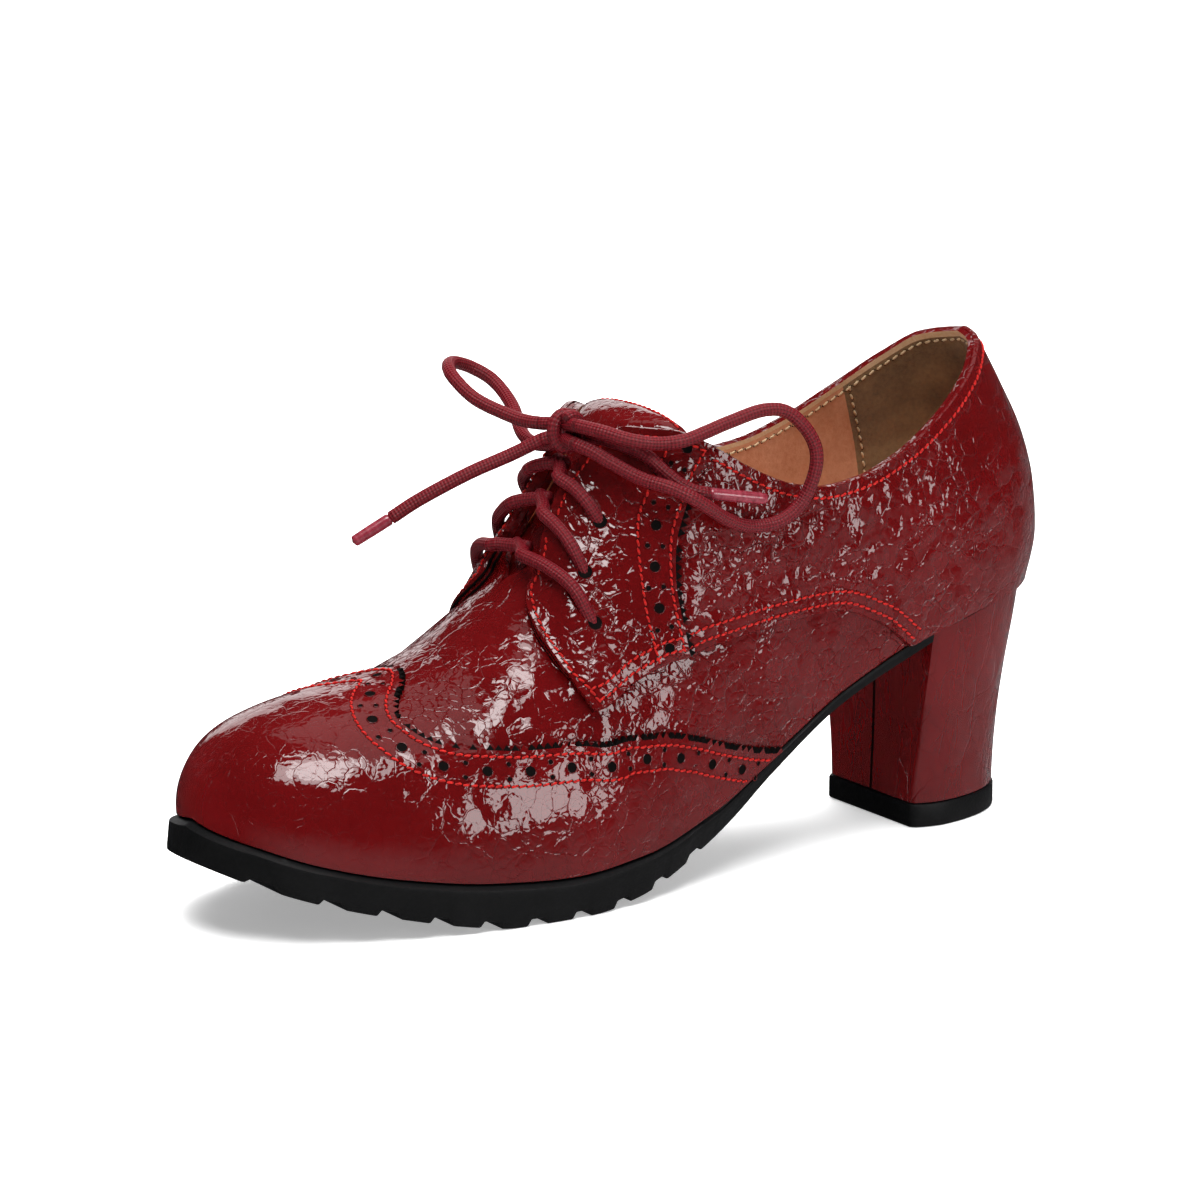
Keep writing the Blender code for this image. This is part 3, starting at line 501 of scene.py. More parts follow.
def instep(from_toe, across, low, lift):
    """Points across the instep: -1 and 1 on the facings at share low, 0 over the middle."""
    from_toe = np.asarray(from_toe, float)
    reach = abs(across)
    if reach > GAP_SHARE:
        share = 1 - (1 - low) * (reach - GAP_SHARE) / (1 - GAP_SHARE)
        return skin(from_toe, share, MEDIAL if across > 0 else LATERAL, lift)
    ends = [skin(from_toe, 1, side, lift) for side in (LATERAL, MEDIAL)]
    width = np.linalg.norm(ends[1] - ends[0], axis=-1, keepdims=True)
    handles = []
    for side, end in zip((LATERAL, MEDIAL), ends):
        slope = end - skin(from_toe, NEAR_TOP, side, lift)
        handles.append(end + unit(slope) * ARCH * width)
    t = (across + GAP_SHARE) / (2 * GAP_SHARE)
    return ((1 - t) ** 3 * ends[0] + 3 * t * (1 - t) ** 2 * handles[0]
            + 3 * t * t * (1 - t) * handles[1] + t ** 3 * ends[1])


def on_tongue(from_toe, across, lift=TONGUE_LIFT):
    return instep(from_toe, across, TONGUE_REACH.at("low", from_toe), lift)


def tongue_end(across):
    """Where the tongue's top edge is, rounded at its corners."""
    return TONGUE_TO - TONGUE_CORNER * abs(across) ** 5


columns, rows = 61, 60
deep = rows * columns
top_grid, low_grid = [], []
for across in np.linspace(-1, 1, columns):
    stations = np.linspace(TONGUE_FROM, tongue_end(across), rows)
    thin = np.where(np.arange(rows) == rows - 1, TONGUE_TOP_SKIVED, 0.0)
    thin = thin + (TONGUE_SIDE_SKIVED if abs(across) == 1 else 0.0)
    top_grid.append(on_tongue(stations, across, TONGUE_LIFT - thin))
    low_grid.append(on_tongue(stations, across, TONGUE_LIFT - TONGUE + thin))
points = list(np.array(top_grid).reshape(-1, 3)) + list(np.array(low_grid).reshape(-1, 3))
faces, kinds = [], []
for i in range(columns - 1):
    for j in range(rows - 1):
        a, b = i * rows + j, (i + 1) * rows + j
        faces += [(a, a + 1, b + 1, b), (a + deep, b + deep, b + 1 + deep, a + 1 + deep)]
        kinds += [0, 1]
border = ([(i * rows, (i + 1) * rows) for i in range(columns - 1)]
          + [((columns - 1) * rows + j, (columns - 1) * rows + j + 1) for j in range(rows - 1)]
          + [((i + 1) * rows + rows - 1, i * rows + rows - 1) for i in range(columns - 1)]
          + [(j + 1, j) for j in range(rows - 1)])
for a, b in border:
    faces.append((a, b, b + deep, a + deep))
    kinds.append(2)
fasten(piece("tongue_leather", points, faces, [patent, calf, edge_dye_and_painted_shade], kinds,
             {"crinkle": np.full(len(points), TONGUE_CRINKLE)}), "patent", "tongue")


# The insole: a thin board covered with a tan leather sock, glued flat inside the upper.
# A little crown and a rounded rim, as a pasted leather sock has.
INSOLE = 2.0


def outline(stations, out, back):
    """Half widths along the feather edge, moved out square to the edge by a width for each station."""
    rims = []
    for side, name in ((LATERAL, "lateral"), (MEDIAL, "medial")):
        half = FEATHER.at(name, stations)
        ahead = np.gradient(np.stack([stations, half], -1), axis=0)
        ahead[0], ahead[-1] = ((0, 1), (1, 0)) if back is None else ((0, 1), (0, -1))
        square = unit(np.stack([-ahead[:, 1], ahead[:, 0]], -1))
        rim = np.stack([stations, half], -1) + square * np.asarray(out)[:, None]
        if back is not None:
            rim[:, 0] = np.minimum(rim[:, 0], back)
        rims.append((side, rim))
    return rims


def stacked(layers):
    """Points and faces of a solid from layers of two rims each; a layer is (rims, heights), from the top."""
    count = len(layers[0][1])
    points, faces = [], []
    for rims, heights in layers:
        for side, rim in rims:
            points += [(x, side * y, z) for (x, y), z in zip(rim, heights)]

    def at(layer, side, i):
        return (2 * layer + side) * count + i

    low = len(layers) - 1
    for i in range(count - 1):
        faces.append((at(0, 0, i), at(0, 0, i + 1), at(0, 1, i + 1), at(0, 1, i)))
        faces.append((at(low, 0, i), at(low, 1, i), at(low, 1, i + 1), at(low, 0, i + 1)))
    for layer in range(low):
        for i in range(count - 1):
            faces.append((at(layer, 0, i), at(layer + 1, 0, i), at(layer + 1, 0, i + 1), at(layer, 0, i + 1)))
            faces.append((at(layer, 1, i), at(layer, 1, i + 1), at(layer + 1, 1, i + 1), at(layer + 1, 1, i)))
        for i, flip in ((0, False), (count - 1, True)):
            face = (at(layer, 0, i), at(layer, 1, i), at(layer + 1, 1, i), at(layer + 1, 0, i))
            faces.append(face[::-1] if flip else face)
    return points, faces


# the sock's rim from the top down: inset from the feather edge, height over it
SOCK_RIM = ((6.0, INSOLE), (3.0, INSOLE - 0.1), (2.3, INSOLE - 0.4), (2.0, INSOLE - 0.9), (2.0, 0.0))
stations = unturn(np.linspace(0, 1, 120))
floor_height = FEATHER.at("height", stations)
layers = []
for inset, height in SOCK_RIM:
    rims = outline(stations, np.full(len(stations), -inset), LAST_LENGTH)
    rims = [(side, np.stack([rim[:, 0], np.maximum(rim[:, 1], 0)], -1)) for side, rim in rims]
    layers.append((rims, floor_height + height))
fasten(piece("insole_sock", *stacked(layers), [calf]), "lining", "insole")


# Panels of the same patent, cut to their patterns and sewn over the upper: the wing cap round the toe,
# a quarter on each side and an eyestay over each quarter's front. Cut edges are dyed black.
OVERLAY_LOW, OVERLAY_TOP = 0.12, 1.4
EYESTAY_LOW, EYESTAY_TOP = 1.45, 2.75
FLAT_LONG, FLAT_TALL = 350.0, 80.0
PANEL_GRID = 1.5
EDGE_ROLL, EDGE_STANDS = 0.45, 0.45
RING_CLEAR, GRID_CLEAR = EDGE_ROLL * 0.6, PANEL_GRID * 0.55
# A black side wall is edge dye where the edge is cut raw, and painted shade under the rolled edges
BOUND_FROM = 0.985         # over this share the edge is bound, below it the side wall is black
TOOTH, TOOTH_DEPTH = 2.05, 1.45
FINE_PACE = 0.8


def smooth(line, steps=14):
    """A smooth curve through the points of a line or route."""
    line = np.asarray(line, float)
    padded = np.concatenate([[2 * line[0] - line[1]], line, [2 * line[-1] - line[-2]]])
    curve = []
    for a, b, c, d in zip(padded, padded[1:], padded[2:], padded[3:]):
        for t in np.linspace(0, 1, steps, endpoint=False):
            curve.append(0.5 * (2 * b + (c - a) * t + (2 * a - 5 * b + 4 * c - d) * t * t
                                + (3 * b - a - 3 * c + d) * t ** 3))
    return np.array(curve + [line[-1]])


def travelled(places):
    """How far each place of a run is from its start."""
    return np.concatenate([[0], np.cumsum(np.linalg.norm(np.diff(places, axis=0), axis=1))])


def evenly(places, rows, pace, fewest):
    """Rows read at even paces in mm along a run of places."""
    travel = travelled(places)
    marks = np.linspace(0, travel[-1], max(fewest, round(travel[-1] / pace) + 1))
    return np.stack([np.interp(marks, travel, column) for column in rows.T], -1)


def walk(line, side, pace=FINE_PACE):
    """Even paces in mm along a line of stations and shares drawn on the last."""
    line = np.clip(line, (0, 0), (LAST_LENGTH, 1))
    return evenly(skin(line[:, 0], line[:, 1], side, OVERLAY_TOP), line, pace, 3)


def beside(line, side, out):
    """The line moved square to itself over the leather by a distance in mm, to its left on the pattern."""
    flat = np.stack([turn(line[:, 0]), line[:, 1]], -1)
    ahead = np.gradient(flat, axis=0)
    along, across = last_slopes(line[:, 0], line[:, 1], side)
    travel = along * ahead[:, :1] + across * ahead[:, 1:]
    square = unit(np.cross(np.cross(along, across), travel))
    aa, ab, bb = (along ** 2).sum(-1), (along * across).sum(-1), (across ** 2).sum(-1)
    pa, pb = (along * square).sum(-1), (across * square).sum(-1)
    moved = np.stack([(bb * pa - ab * pb), (aa * pb - ab * pa)], -1) / (aa * bb - ab ** 2)[:, None]
    left = np.sign(ahead[:, 0] * moved[:, 1] - ahead[:, 1] * moved[:, 0])
    flat = flat + moved * (left * np.asarray(out))[:, None]
    return np.stack([unturn(np.clip(flat[:, 0], 0, 1)), np.clip(flat[:, 1], 0, 1)], -1)


def pinked(line, side):
    """A cut edge with pinked teeth: points out and in by turns, half a tooth apart."""
    paces = walk(line, side, TOOTH / 2)
    return beside(paces, side, np.where(np.arange(len(paces)) % 2 == 0, TOOTH_DEPTH / 2, -TOOTH_DEPTH / 2))


def across_top(first, last, count, share):
    """A line along one share of the last, from station to station."""
    return np.stack([unturn(np.linspace(turn(first), turn(last), count)), np.full(count, float(share))], -1)


def panel(border, side, low, top, open_edges=False, raw=False):
    """Points, faces, finish, stations and shares of one panel from its border, counted round anticlockwise
    on the pattern. Its edge is rolled down, apart from the border points that open_edges marks, and cut
    square, with black teeth, where raw marks them."""
    open_edges, raw = (np.broadcast_to(marks, len(border)) for marks in (open_edges, raw))
    flat = np.stack([turn(border[:, 0]) * FLAT_LONG, border[:, 1] * FLAT_TALL], -1)
    ahead = np.roll(flat, -1, axis=0) - flat
    ends = flat + ahead
    low_corner, high_corner = flat.min(0), flat.max(0)
    xs = np.arange(low_corner[0], high_corner[0], PANEL_GRID)
    ys = np.arange(low_corner[1], high_corner[1], PANEL_GRID)
    inside = np.stack(np.meshgrid(xs, ys, indexing="ij"), -1)
    inside[::2, :, 1] += PANEL_GRID / 2
    inside = inside.reshape(-1, 2)
    square = np.stack([-ahead[:, 1], ahead[:, 0]], -1)
    square = square + np.roll(square, 1, axis=0)
    square /= np.maximum(np.linalg.norm(square, axis=-1, keepdims=True), 1e-9)
    ring = (flat + square * EDGE_ROLL)[~open_edges & ~raw]
    kept = []
    for candidates, clear in ((ring, RING_CLEAR), (inside, GRID_CLEAR)):
        to_start = candidates[:, None] - flat[None]
        share = np.clip((to_start * ahead).sum(-1) / np.maximum((ahead ** 2).sum(-1), 1e-12), 0, 1)
        distance = np.linalg.norm(to_start - share[..., None] * ahead, axis=-1).min(1)
        rising = (flat[None, :, 1] > candidates[:, None, 1]) != (ends[None, :, 1] > candidates[:, None, 1])
        slope = np.where(np.abs(ahead[:, 1]) < 1e-12, 1e-12, ahead[:, 1])
        crosses = flat[:, 0] + (candidates[:, None, 1] - flat[:, 1]) / slope * ahead[:, 0]
        within = (rising & (candidates[:, None, 0] < crosses)).sum(1) % 2 == 1
        kept.append(candidates[within & (distance > clear)])
    cut = np.concatenate([flat] + kept)
    result = delaunay_2d_cdt([Vector(p) for p in cut], [], [list(range(len(flat)))], 1, 1e-5)
    places = np.array([tuple(p) for p in result[0]])
    on_border, is_open, is_raw = (
        np.array([any(k < len(flat) and marks[k] for k in ids) for ids in result[3]])
        for marks in (np.ones(len(flat), bool), open_edges, raw))
    stations = unturn(np.clip(places[:, 0] / FLAT_LONG, 0, 1))
    shares = np.clip(places[:, 1] / FLAT_TALL, 0, 1)
    lift = np.where(on_border & ~is_open & ~is_raw, low + (top - low) * EDGE_STANDS, top)
    count = len(places)
    points = np.concatenate([skin(stations, shares, side, lift), skin(stations, shares, side, low)])
    faces, kinds, edges = [], [], {}
    # Each underside takes the black finish, painted shade under the panel; teeth wholly on a raw edge are
    # dyed
    for triangle in result[2]:
        face = list(triangle) if side == LATERAL else list(triangle)[::-1]
        faces += [tuple(face), tuple(k + count for k in face[::-1])]
        kinds += [1 if all(is_raw[k] for k in face) else 0, 1]
        for a, b in zip(face, face[1:] + face[:1]):
            edges[(a, b)] = (b, a) not in edges and edges.get((a, b), True)
            if (b, a) in edges:
                edges[(b, a)] = edges[(a, b)] = False
    # Side walls below the binding take the black finish: dye on raw cuts, painted shade under rolled edges
    for (a, b), outer in edges.items():
        if outer:
            faces.append((b, a, a + count, b + count))
            kinds.append(1 if shares[a] < BOUND_FROM else 0)
    return points, faces, kinds, np.tile(stations, 2), np.tile(shares, 2)


WING_EDGE = [(54.5, 1), (53.6, 0.95), (50.6, 0.88), (47.1, 0.819), (44.7, 0.761), (43.6, 0.695),
             (44.7, 0.637), (46.5, 0.587), (49.4, 0.544), (53, 0.51), (57.5, 0.478), (68, 0.41),
             (78.5, 0.358), (86.2, 0.324), (93.9, 0.28), (99, 0.247), (108.4, 0.205), (118.5, 0.168),
             (129.4, 0.112), (140.9, 0.027), (144, 0)]
# low on the side the wing is drawn tight over the last, and calmer
WING_CALM = Table("share part", [(0, 0.35), (0.12, 0.5), (0.3, 0.75), (0.45, 1), (1, 1)])
wing_points, wing_faces, wing_kinds, wing_crinkle = [], [], [], []
for side in (LATERAL, MEDIAL):
    edge = pinked(smooth(WING_EDGE), side)
    edge[0, 1], edge[-1, 1] = 1, 0
    feather = np.stack([unturn(np.linspace(0, 1, 150) * turn(edge[-1, 0])), np.zeros(150)], -1)
    toe = np.stack([np.zeros(30), np.linspace(1, 0, 30)], -1)
    ridge = across_top(edge[0, 0], 0, 60, 1)
    border = np.concatenate([feather[:-1], edge[::-1][:-1], ridge[:-1], toe[:-1]])
    open_edges, raw = np.zeros((2, len(border)), bool)
    open_edges[:len(feather) - 1] = True
    open_edges[len(feather) + len(edge) - 2:] = True
    raw[len(feather) - 1:len(feather) + len(edge) - 1] = True
    points, faces, kinds, places, shares = panel(border, side, OVERLAY_LOW, OVERLAY_TOP, open_edges, raw)
    in_middle = np.abs(points[:, 1]) < 1e-6
    for face, kind in zip(faces, kinds):
        if not all(in_middle[k] for k in face):
            wing_faces.append(tuple(k + len(wing_points) for k in face))
            wing_kinds.append(kind)
    wing_points += list(points)
    wing_crinkle += list(CRINKLE.at("amount", places) * WING_CALM.at("part", shares))
fasten(piece("wing_cap_leather", wing_points, wing_faces, [patent, edge_dye_and_painted_shade], wing_kinds,
             {"crinkle": wing_crinkle}), "patent", "wing_cap")

# Bonded polyester thread: bright red against the dark patent, a twisted yarn with a dull sheen
thread, tree, shader = start_finish("red_polyester_thread", Roughness=0.6, Specular_IOR_Level=0.2)
where = add(tree, "ShaderNodeTexCoord").outputs["Object"]
twist = add(tree, "ShaderNodeTexWave", {"Vector": where, "Scale": 1 / (2.4 * MM), "Distortion": 2.0},
            bands_direction="DIAGONAL")
ply = add(tree, "ShaderNodeValToRGB", {"Fac": twist.outputs["Fac"]}, ramp=((0, "#8e0d0a"), (1, "#ba1711")))
wire(tree, shader, {"Base Color": ply})


def start_rows(name, lines, sizes, finishes, result):
    """A tree with named inputs that walks along lines: it, its inputs, a point at each pitch, and the turn
    there, which lies along the line and faces outwards."""
    tree = bpy.data.node_groups.new(name, "GeometryNodeTree")
    sockets = [(lines, "Geometry")] + [(size, "Float") for size in sizes]
    for socket, kind in sockets + [(finish, "Material") for finish in finishes]:
        tree.interface.new_socket(socket, in_out="INPUT", socket_type="NodeSocket" + kind)
    tree.interface.new_socket(result, in_out="OUTPUT", socket_type="NodeSocketGeometry")
    given = add(tree, "NodeGroupInput").outputs
    line = add(tree, "GeometryNodeMeshToCurve", {"Mesh": given[lines]})
    paces = add(tree, "GeometryNodeResampleCurve", {"Curve": line, "Length": given["Pitch"]}, mode="LENGTH")
    up = add(tree, "GeometryNodeInputNamedAttribute", {"Name": "up"}, data_type="FLOAT_VECTOR")
    facing = add(tree, "FunctionNodeAlignRotationToVector", {"Vector": up}, axis="Z")
    along = add(tree, "GeometryNodeInputTangent")
    laid = add(tree, "FunctionNodeAlignRotationToVector", {"Rotation": facing, "Vector": along}, axis="X",
               pivot_axis="Z")
    return tree, given, paces, laid


def hole_shade_disc(tree, corners, radius, mark):
    """Painted shade for the inside of a hole: a flat disc whose face carries a mark."""
    disc = add(tree, "GeometryNodeMeshCircle", {"Vertices": corners, "Radius": radius}, fill_type="NGON")
    return add(tree, "GeometryNodeStoreNamedAttribute", {"Geometry": disc, "Name": mark, "Value": True},
               data_type="BOOLEAN", domain="FACE")


def end_rows(tree, shapes, finish, mark, marked_finish, result):
    """The shapes made real, in one finish, and in the other where they carry the mark."""
    real = add(tree, "GeometryNodeRealizeInstances", {"Geometry": shapes})
    covered = add(tree, "GeometryNodeSetMaterial", {"Geometry": real, "Material": finish})
    marked = add(tree, "GeometryNodeInputNamedAttribute", {"Name": mark}, data_type="BOOLEAN")
    darkened = add(tree, "GeometryNodeSetMaterial", {"Geometry": covered, "Selection": marked,
                                                     "Material": marked_finish})
    add(tree, "NodeGroupOutput", {result: darkened})


# One sewn row: a stitch at each pitch, laid at a slant between two needle holes, each a small black disc
# of painted shade
NEEDLE_HOLE_LIFT = 0.03
sewing, given, paces, laid = start_rows(
    "sewn_rows", "Rows", ("Pitch", "Stitch Length", "Thread Width", "Slant", "Needle Hole"),
    ("Thread Finish", "Hole Shade Finish"), "Stitches")
spin = add(sewing, "FunctionNodeAxisAngleToRotation", {"Axis": (0, 0, 1), "Angle": given["Slant"]})
slanted = add(sewing, "FunctionNodeRotateRotation", {"Rotation": laid, "Rotate By": spin},
              rotation_space="LOCAL")
half, behind, crown, sunk, radius = (
    add(sewing, "ShaderNodeMath", {0: given[size], 1: part}, operation="MULTIPLY")
    for size, part in (("Stitch Length", 0.5), ("Stitch Length", -0.5), ("Thread Width", 0.75),
                       ("Thread Width", -0.35), ("Thread Width", 0.5)))
first = add(sewing, "ShaderNodeCombineXYZ", {"X": behind, "Z": sunk})
middle = add(sewing, "ShaderNodeCombineXYZ", {"Z": crown})
last = add(sewing, "ShaderNodeCombineXYZ", {"X": half, "Z": sunk})
bow = add(sewing, "GeometryNodeCurveQuadraticBezier", {"Resolution": 4, "Start": first, "Middle": middle,
                                                       "End": last})
ring = add(sewing, "GeometryNodeCurvePrimitiveCircle", {"Resolution": 5, "Radius": radius})
sewn = [add(sewing, "GeometryNodeCurveToMesh", {"Curve": bow, "Profile Curve": ring, "Fill Caps": True})]
hole = hole_shade_disc(sewing, 6, given["Needle Hole"], "pricked")
for place in (behind, half):
    spot = add(sewing, "ShaderNodeCombineXYZ", {"X": place, "Z": NEEDLE_HOLE_LIFT * MM})
    sewn.append(add(sewing, "GeometryNodeTransform", {"Geometry": hole, "Translation": spot}))
stitch = add(sewing, "GeometryNodeJoinGeometry", {"Geometry": sewn})
placed = add(sewing, "GeometryNodeInstanceOnPoints", {"Points": paces, "Instance": stitch,
                                                      "Rotation": slanted})
end_rows(sewing, placed, given["Thread Finish"], "pricked", given["Hole Shade Finish"], "Stitches")


def laid_on(line, side, lift, sign=1):
    """Points over the last and their outward directions, for a line of stations and shares."""
    return skin(line[:, 0], line[:, 1], side, lift), sign * last_normal(line[:, 0], line[:, 1], side)


def follow(name, lines, tree, values):
    """A plain mesh that a tree makes along lines, each given as points and their outward directions."""
    points, ups, edges = [], [], []
    for line, outward in lines:
        edges += [(len(points) + k, len(points) + k + 1) for k in range(len(line) - 1)]
        points += list(line)
        ups += list(outward)
    rows = bpy.data.meshes.new(name + "_rows")
    rows.from_pydata(to_frame(points).tolist(), edges, [])
    up = rows.attributes.new("up", "FLOAT_VECTOR", "POINT")
    up.data.foreach_set("vector", np.array(ups, np.float32).reshape(-1))
    guide = link(bpy.data.objects.new(name + "_rows", rows))
    nodes = guide.modifiers.new("made", "NODES")
    nodes.node_group = tree
    for item in tree.interface.items_tree:
        if item.in_out == "INPUT" and item.name in values:
            nodes[item.identifier] = values[item.name]
    bpy.context.view_layer.update()
    mesh = bpy.data.meshes.new_from_object(guide.evaluated_get(bpy.context.evaluated_depsgraph_get()))
    guide.modifiers.remove(nodes)
    bpy.data.objects.remove(guide, do_unlink=True)
    mesh.name = name
    mesh.shade_smooth()
    return link(bpy.data.objects.new(name, mesh))


SEWN = {"Pitch": 1.98 * MM, "Stitch Length": 1.6 * MM, "Thread Width": 0.62 * MM, "Slant": math.radians(12),
        "Needle Hole": 0.36 * MM, "Thread Finish": thread, "Hole Shade Finish": edge_dye_and_painted_shade}
BAND_WIDTH = Table("from_toe low_row", [(40, 11.2), (50, 10.0), (62, 9.3), (80, 8.6), (100, 8.0), (140, 7.4)])
UPPER_ROW, ROWS_APART, ROWS_FROM, ROWS_TO = 2.3, 3, 0.008, 0.999
wing_rows, wing_bands = [], []
for side in (LATERAL, MEDIAL):
    edge = walk(smooth(WING_EDGE), side)
    far = np.maximum(BAND_WIDTH.at("low_row", edge[:, 0]), UPPER_ROW + ROWS_APART)
    for out, kept in ((UPPER_ROW, wing_rows), (far, wing_rows), ((UPPER_ROW + far) / 2, wing_bands)):
        line = beside(edge, side, -out)
        line = line[(line[:, 1] < ROWS_TO) & (line[:, 1] > ROWS_FROM)]
        kept.append(laid_on(walk(line, side), side, OVERLAY_TOP))
fasten(follow("wing_stitches", wing_rows, sewing, SEWN), None)

# Punched ornament: a large hole and a pair of small ones by turns along the band, each a low lip round a
# black disc of painted shade for its inside
PUNCHED_LIFT = 0.05
punching, given, paces, laid = start_rows(
    "punched_band", "Band", ("Pitch", "Large Hole", "Small Hole", "Pair Spread", "Lip"),
    ("Hole Shade Finish", "Lip Finish"), "Holes")
count = add(punching, "GeometryNodeInputIndex")
odd = add(punching, "ShaderNodeMath", {0: count, 1: 2.0}, operation="MODULO")
even = add(punching, "ShaderNodeMath", {0: 1.0, 1: odd}, operation="SUBTRACT")
lip_round = add(punching, "GeometryNodeCurvePrimitiveCircle", {"Resolution": 4, "Radius": given["Lip"]})
stamped = []
for size, chosen, sides in (("Large Hole", even, (0,)), ("Small Hole", odd, (-1, 1))):
    well = hole_shade_disc(punching, 12, given[size], "punched")
    rim = add(punching, "GeometryNodeCurvePrimitiveCircle", {"Resolution": 12, "Radius": given[size]})
    lip = add(punching, "GeometryNodeCurveToMesh", {"Curve": rim, "Profile Curve": lip_round})
    cut = add(punching, "GeometryNodeJoinGeometry", {"Geometry": [well, lip]})
    moved = []
    for across in sides:
        reach = add(punching, "ShaderNodeMath", {0: given["Pair Spread"], 1: float(across)},
                    operation="MULTIPLY")
        spot = add(punching, "ShaderNodeCombineXYZ", {"Y": reach, "Z": PUNCHED_LIFT * MM})
        moved.append(add(punching, "GeometryNodeTransform", {"Geometry": cut, "Translation": spot}))
    figure = add(punching, "GeometryNodeJoinGeometry", {"Geometry": moved})
    stamped.append(add(punching, "GeometryNodeInstanceOnPoints", {"Points": paces, "Selection": chosen,
                                                                  "Instance": figure, "Rotation": laid}))
gathered = add(punching, "GeometryNodeJoinGeometry", {"Geometry": stamped})
end_rows(punching, gathered, given["Lip Finish"], "punched", given["Hole Shade Finish"], "Holes")
PUNCHED = {"Pitch": 5.25 * MM, "Large Hole": 1.38 * MM, "Small Hole": 0.7 * MM, "Pair Spread": 1.8 * MM,
           "Lip": 0.13 * MM, "Hole Shade Finish": edge_dye_and_painted_shade, "Lip Finish": patent}
fasten(follow("wing_perforations", wing_bands, punching, PUNCHED), "patent")

QUARTER_LOW = [(87.6, 0.405), (94.7, 0.376), (102, 0.358), (108.4, 0.350), (116.4, 0.362), (121.5, 0.382),
               (130.1, 0.412), (139, 0.440), (148, 0.450), (156.2, 0.429), (161, 0.396), (165, 0.347),
               (169.5, 0.274), (174, 0.197), (178, 0.11), (181, 0.045), (183.4, 0)]
TAB_FRONT = [(87.6, 0.405), (85.5, 0.483), (82.9, 0.571), (81.4, 0.66), (81.4, 0.72), (82.6, 0.79),
             (85.2, 0.861), (88.2, 0.94), (91, 1)]
EYESTAY_REAR = [(115.2, 0.360), (114.6, 0.429), (114.2, 0.502), (114.9, 0.579), (116.2, 0.655),
                (118.7, 0.745), (122, 0.86), (125.4, 0.96), (126.6, 1)]
# stations: the eyestay's foot ends, its two low rows end, and the row under the collar starts
STAY_FOOT, STAY_ROWS_TO, COLLAR_ROW_FROM = 115.0, 113, 128
# rows in mm from their edge: quarter and eyestay foot, collar, lining, tab front, stay top, stay rear, band
FOOT_ROWS, COLLAR_ROW, LINING_ROW, TAB_ROW, STAY_TOP_ROW = (2.2, 5.0), 3.0, 2.6, -2.0, 2.2
STAY_REAR_ROWS, STAY_BAND = (1.9, 9.0), 5.5
# the lining's row behind the counter's seam, and the pitches that differ from the wing's
COUNTER_ROW, STAY_PITCH, LINING_PITCH = 1.7, 4.7, 2.3
EYESTAY_CRINKLE = 1.35
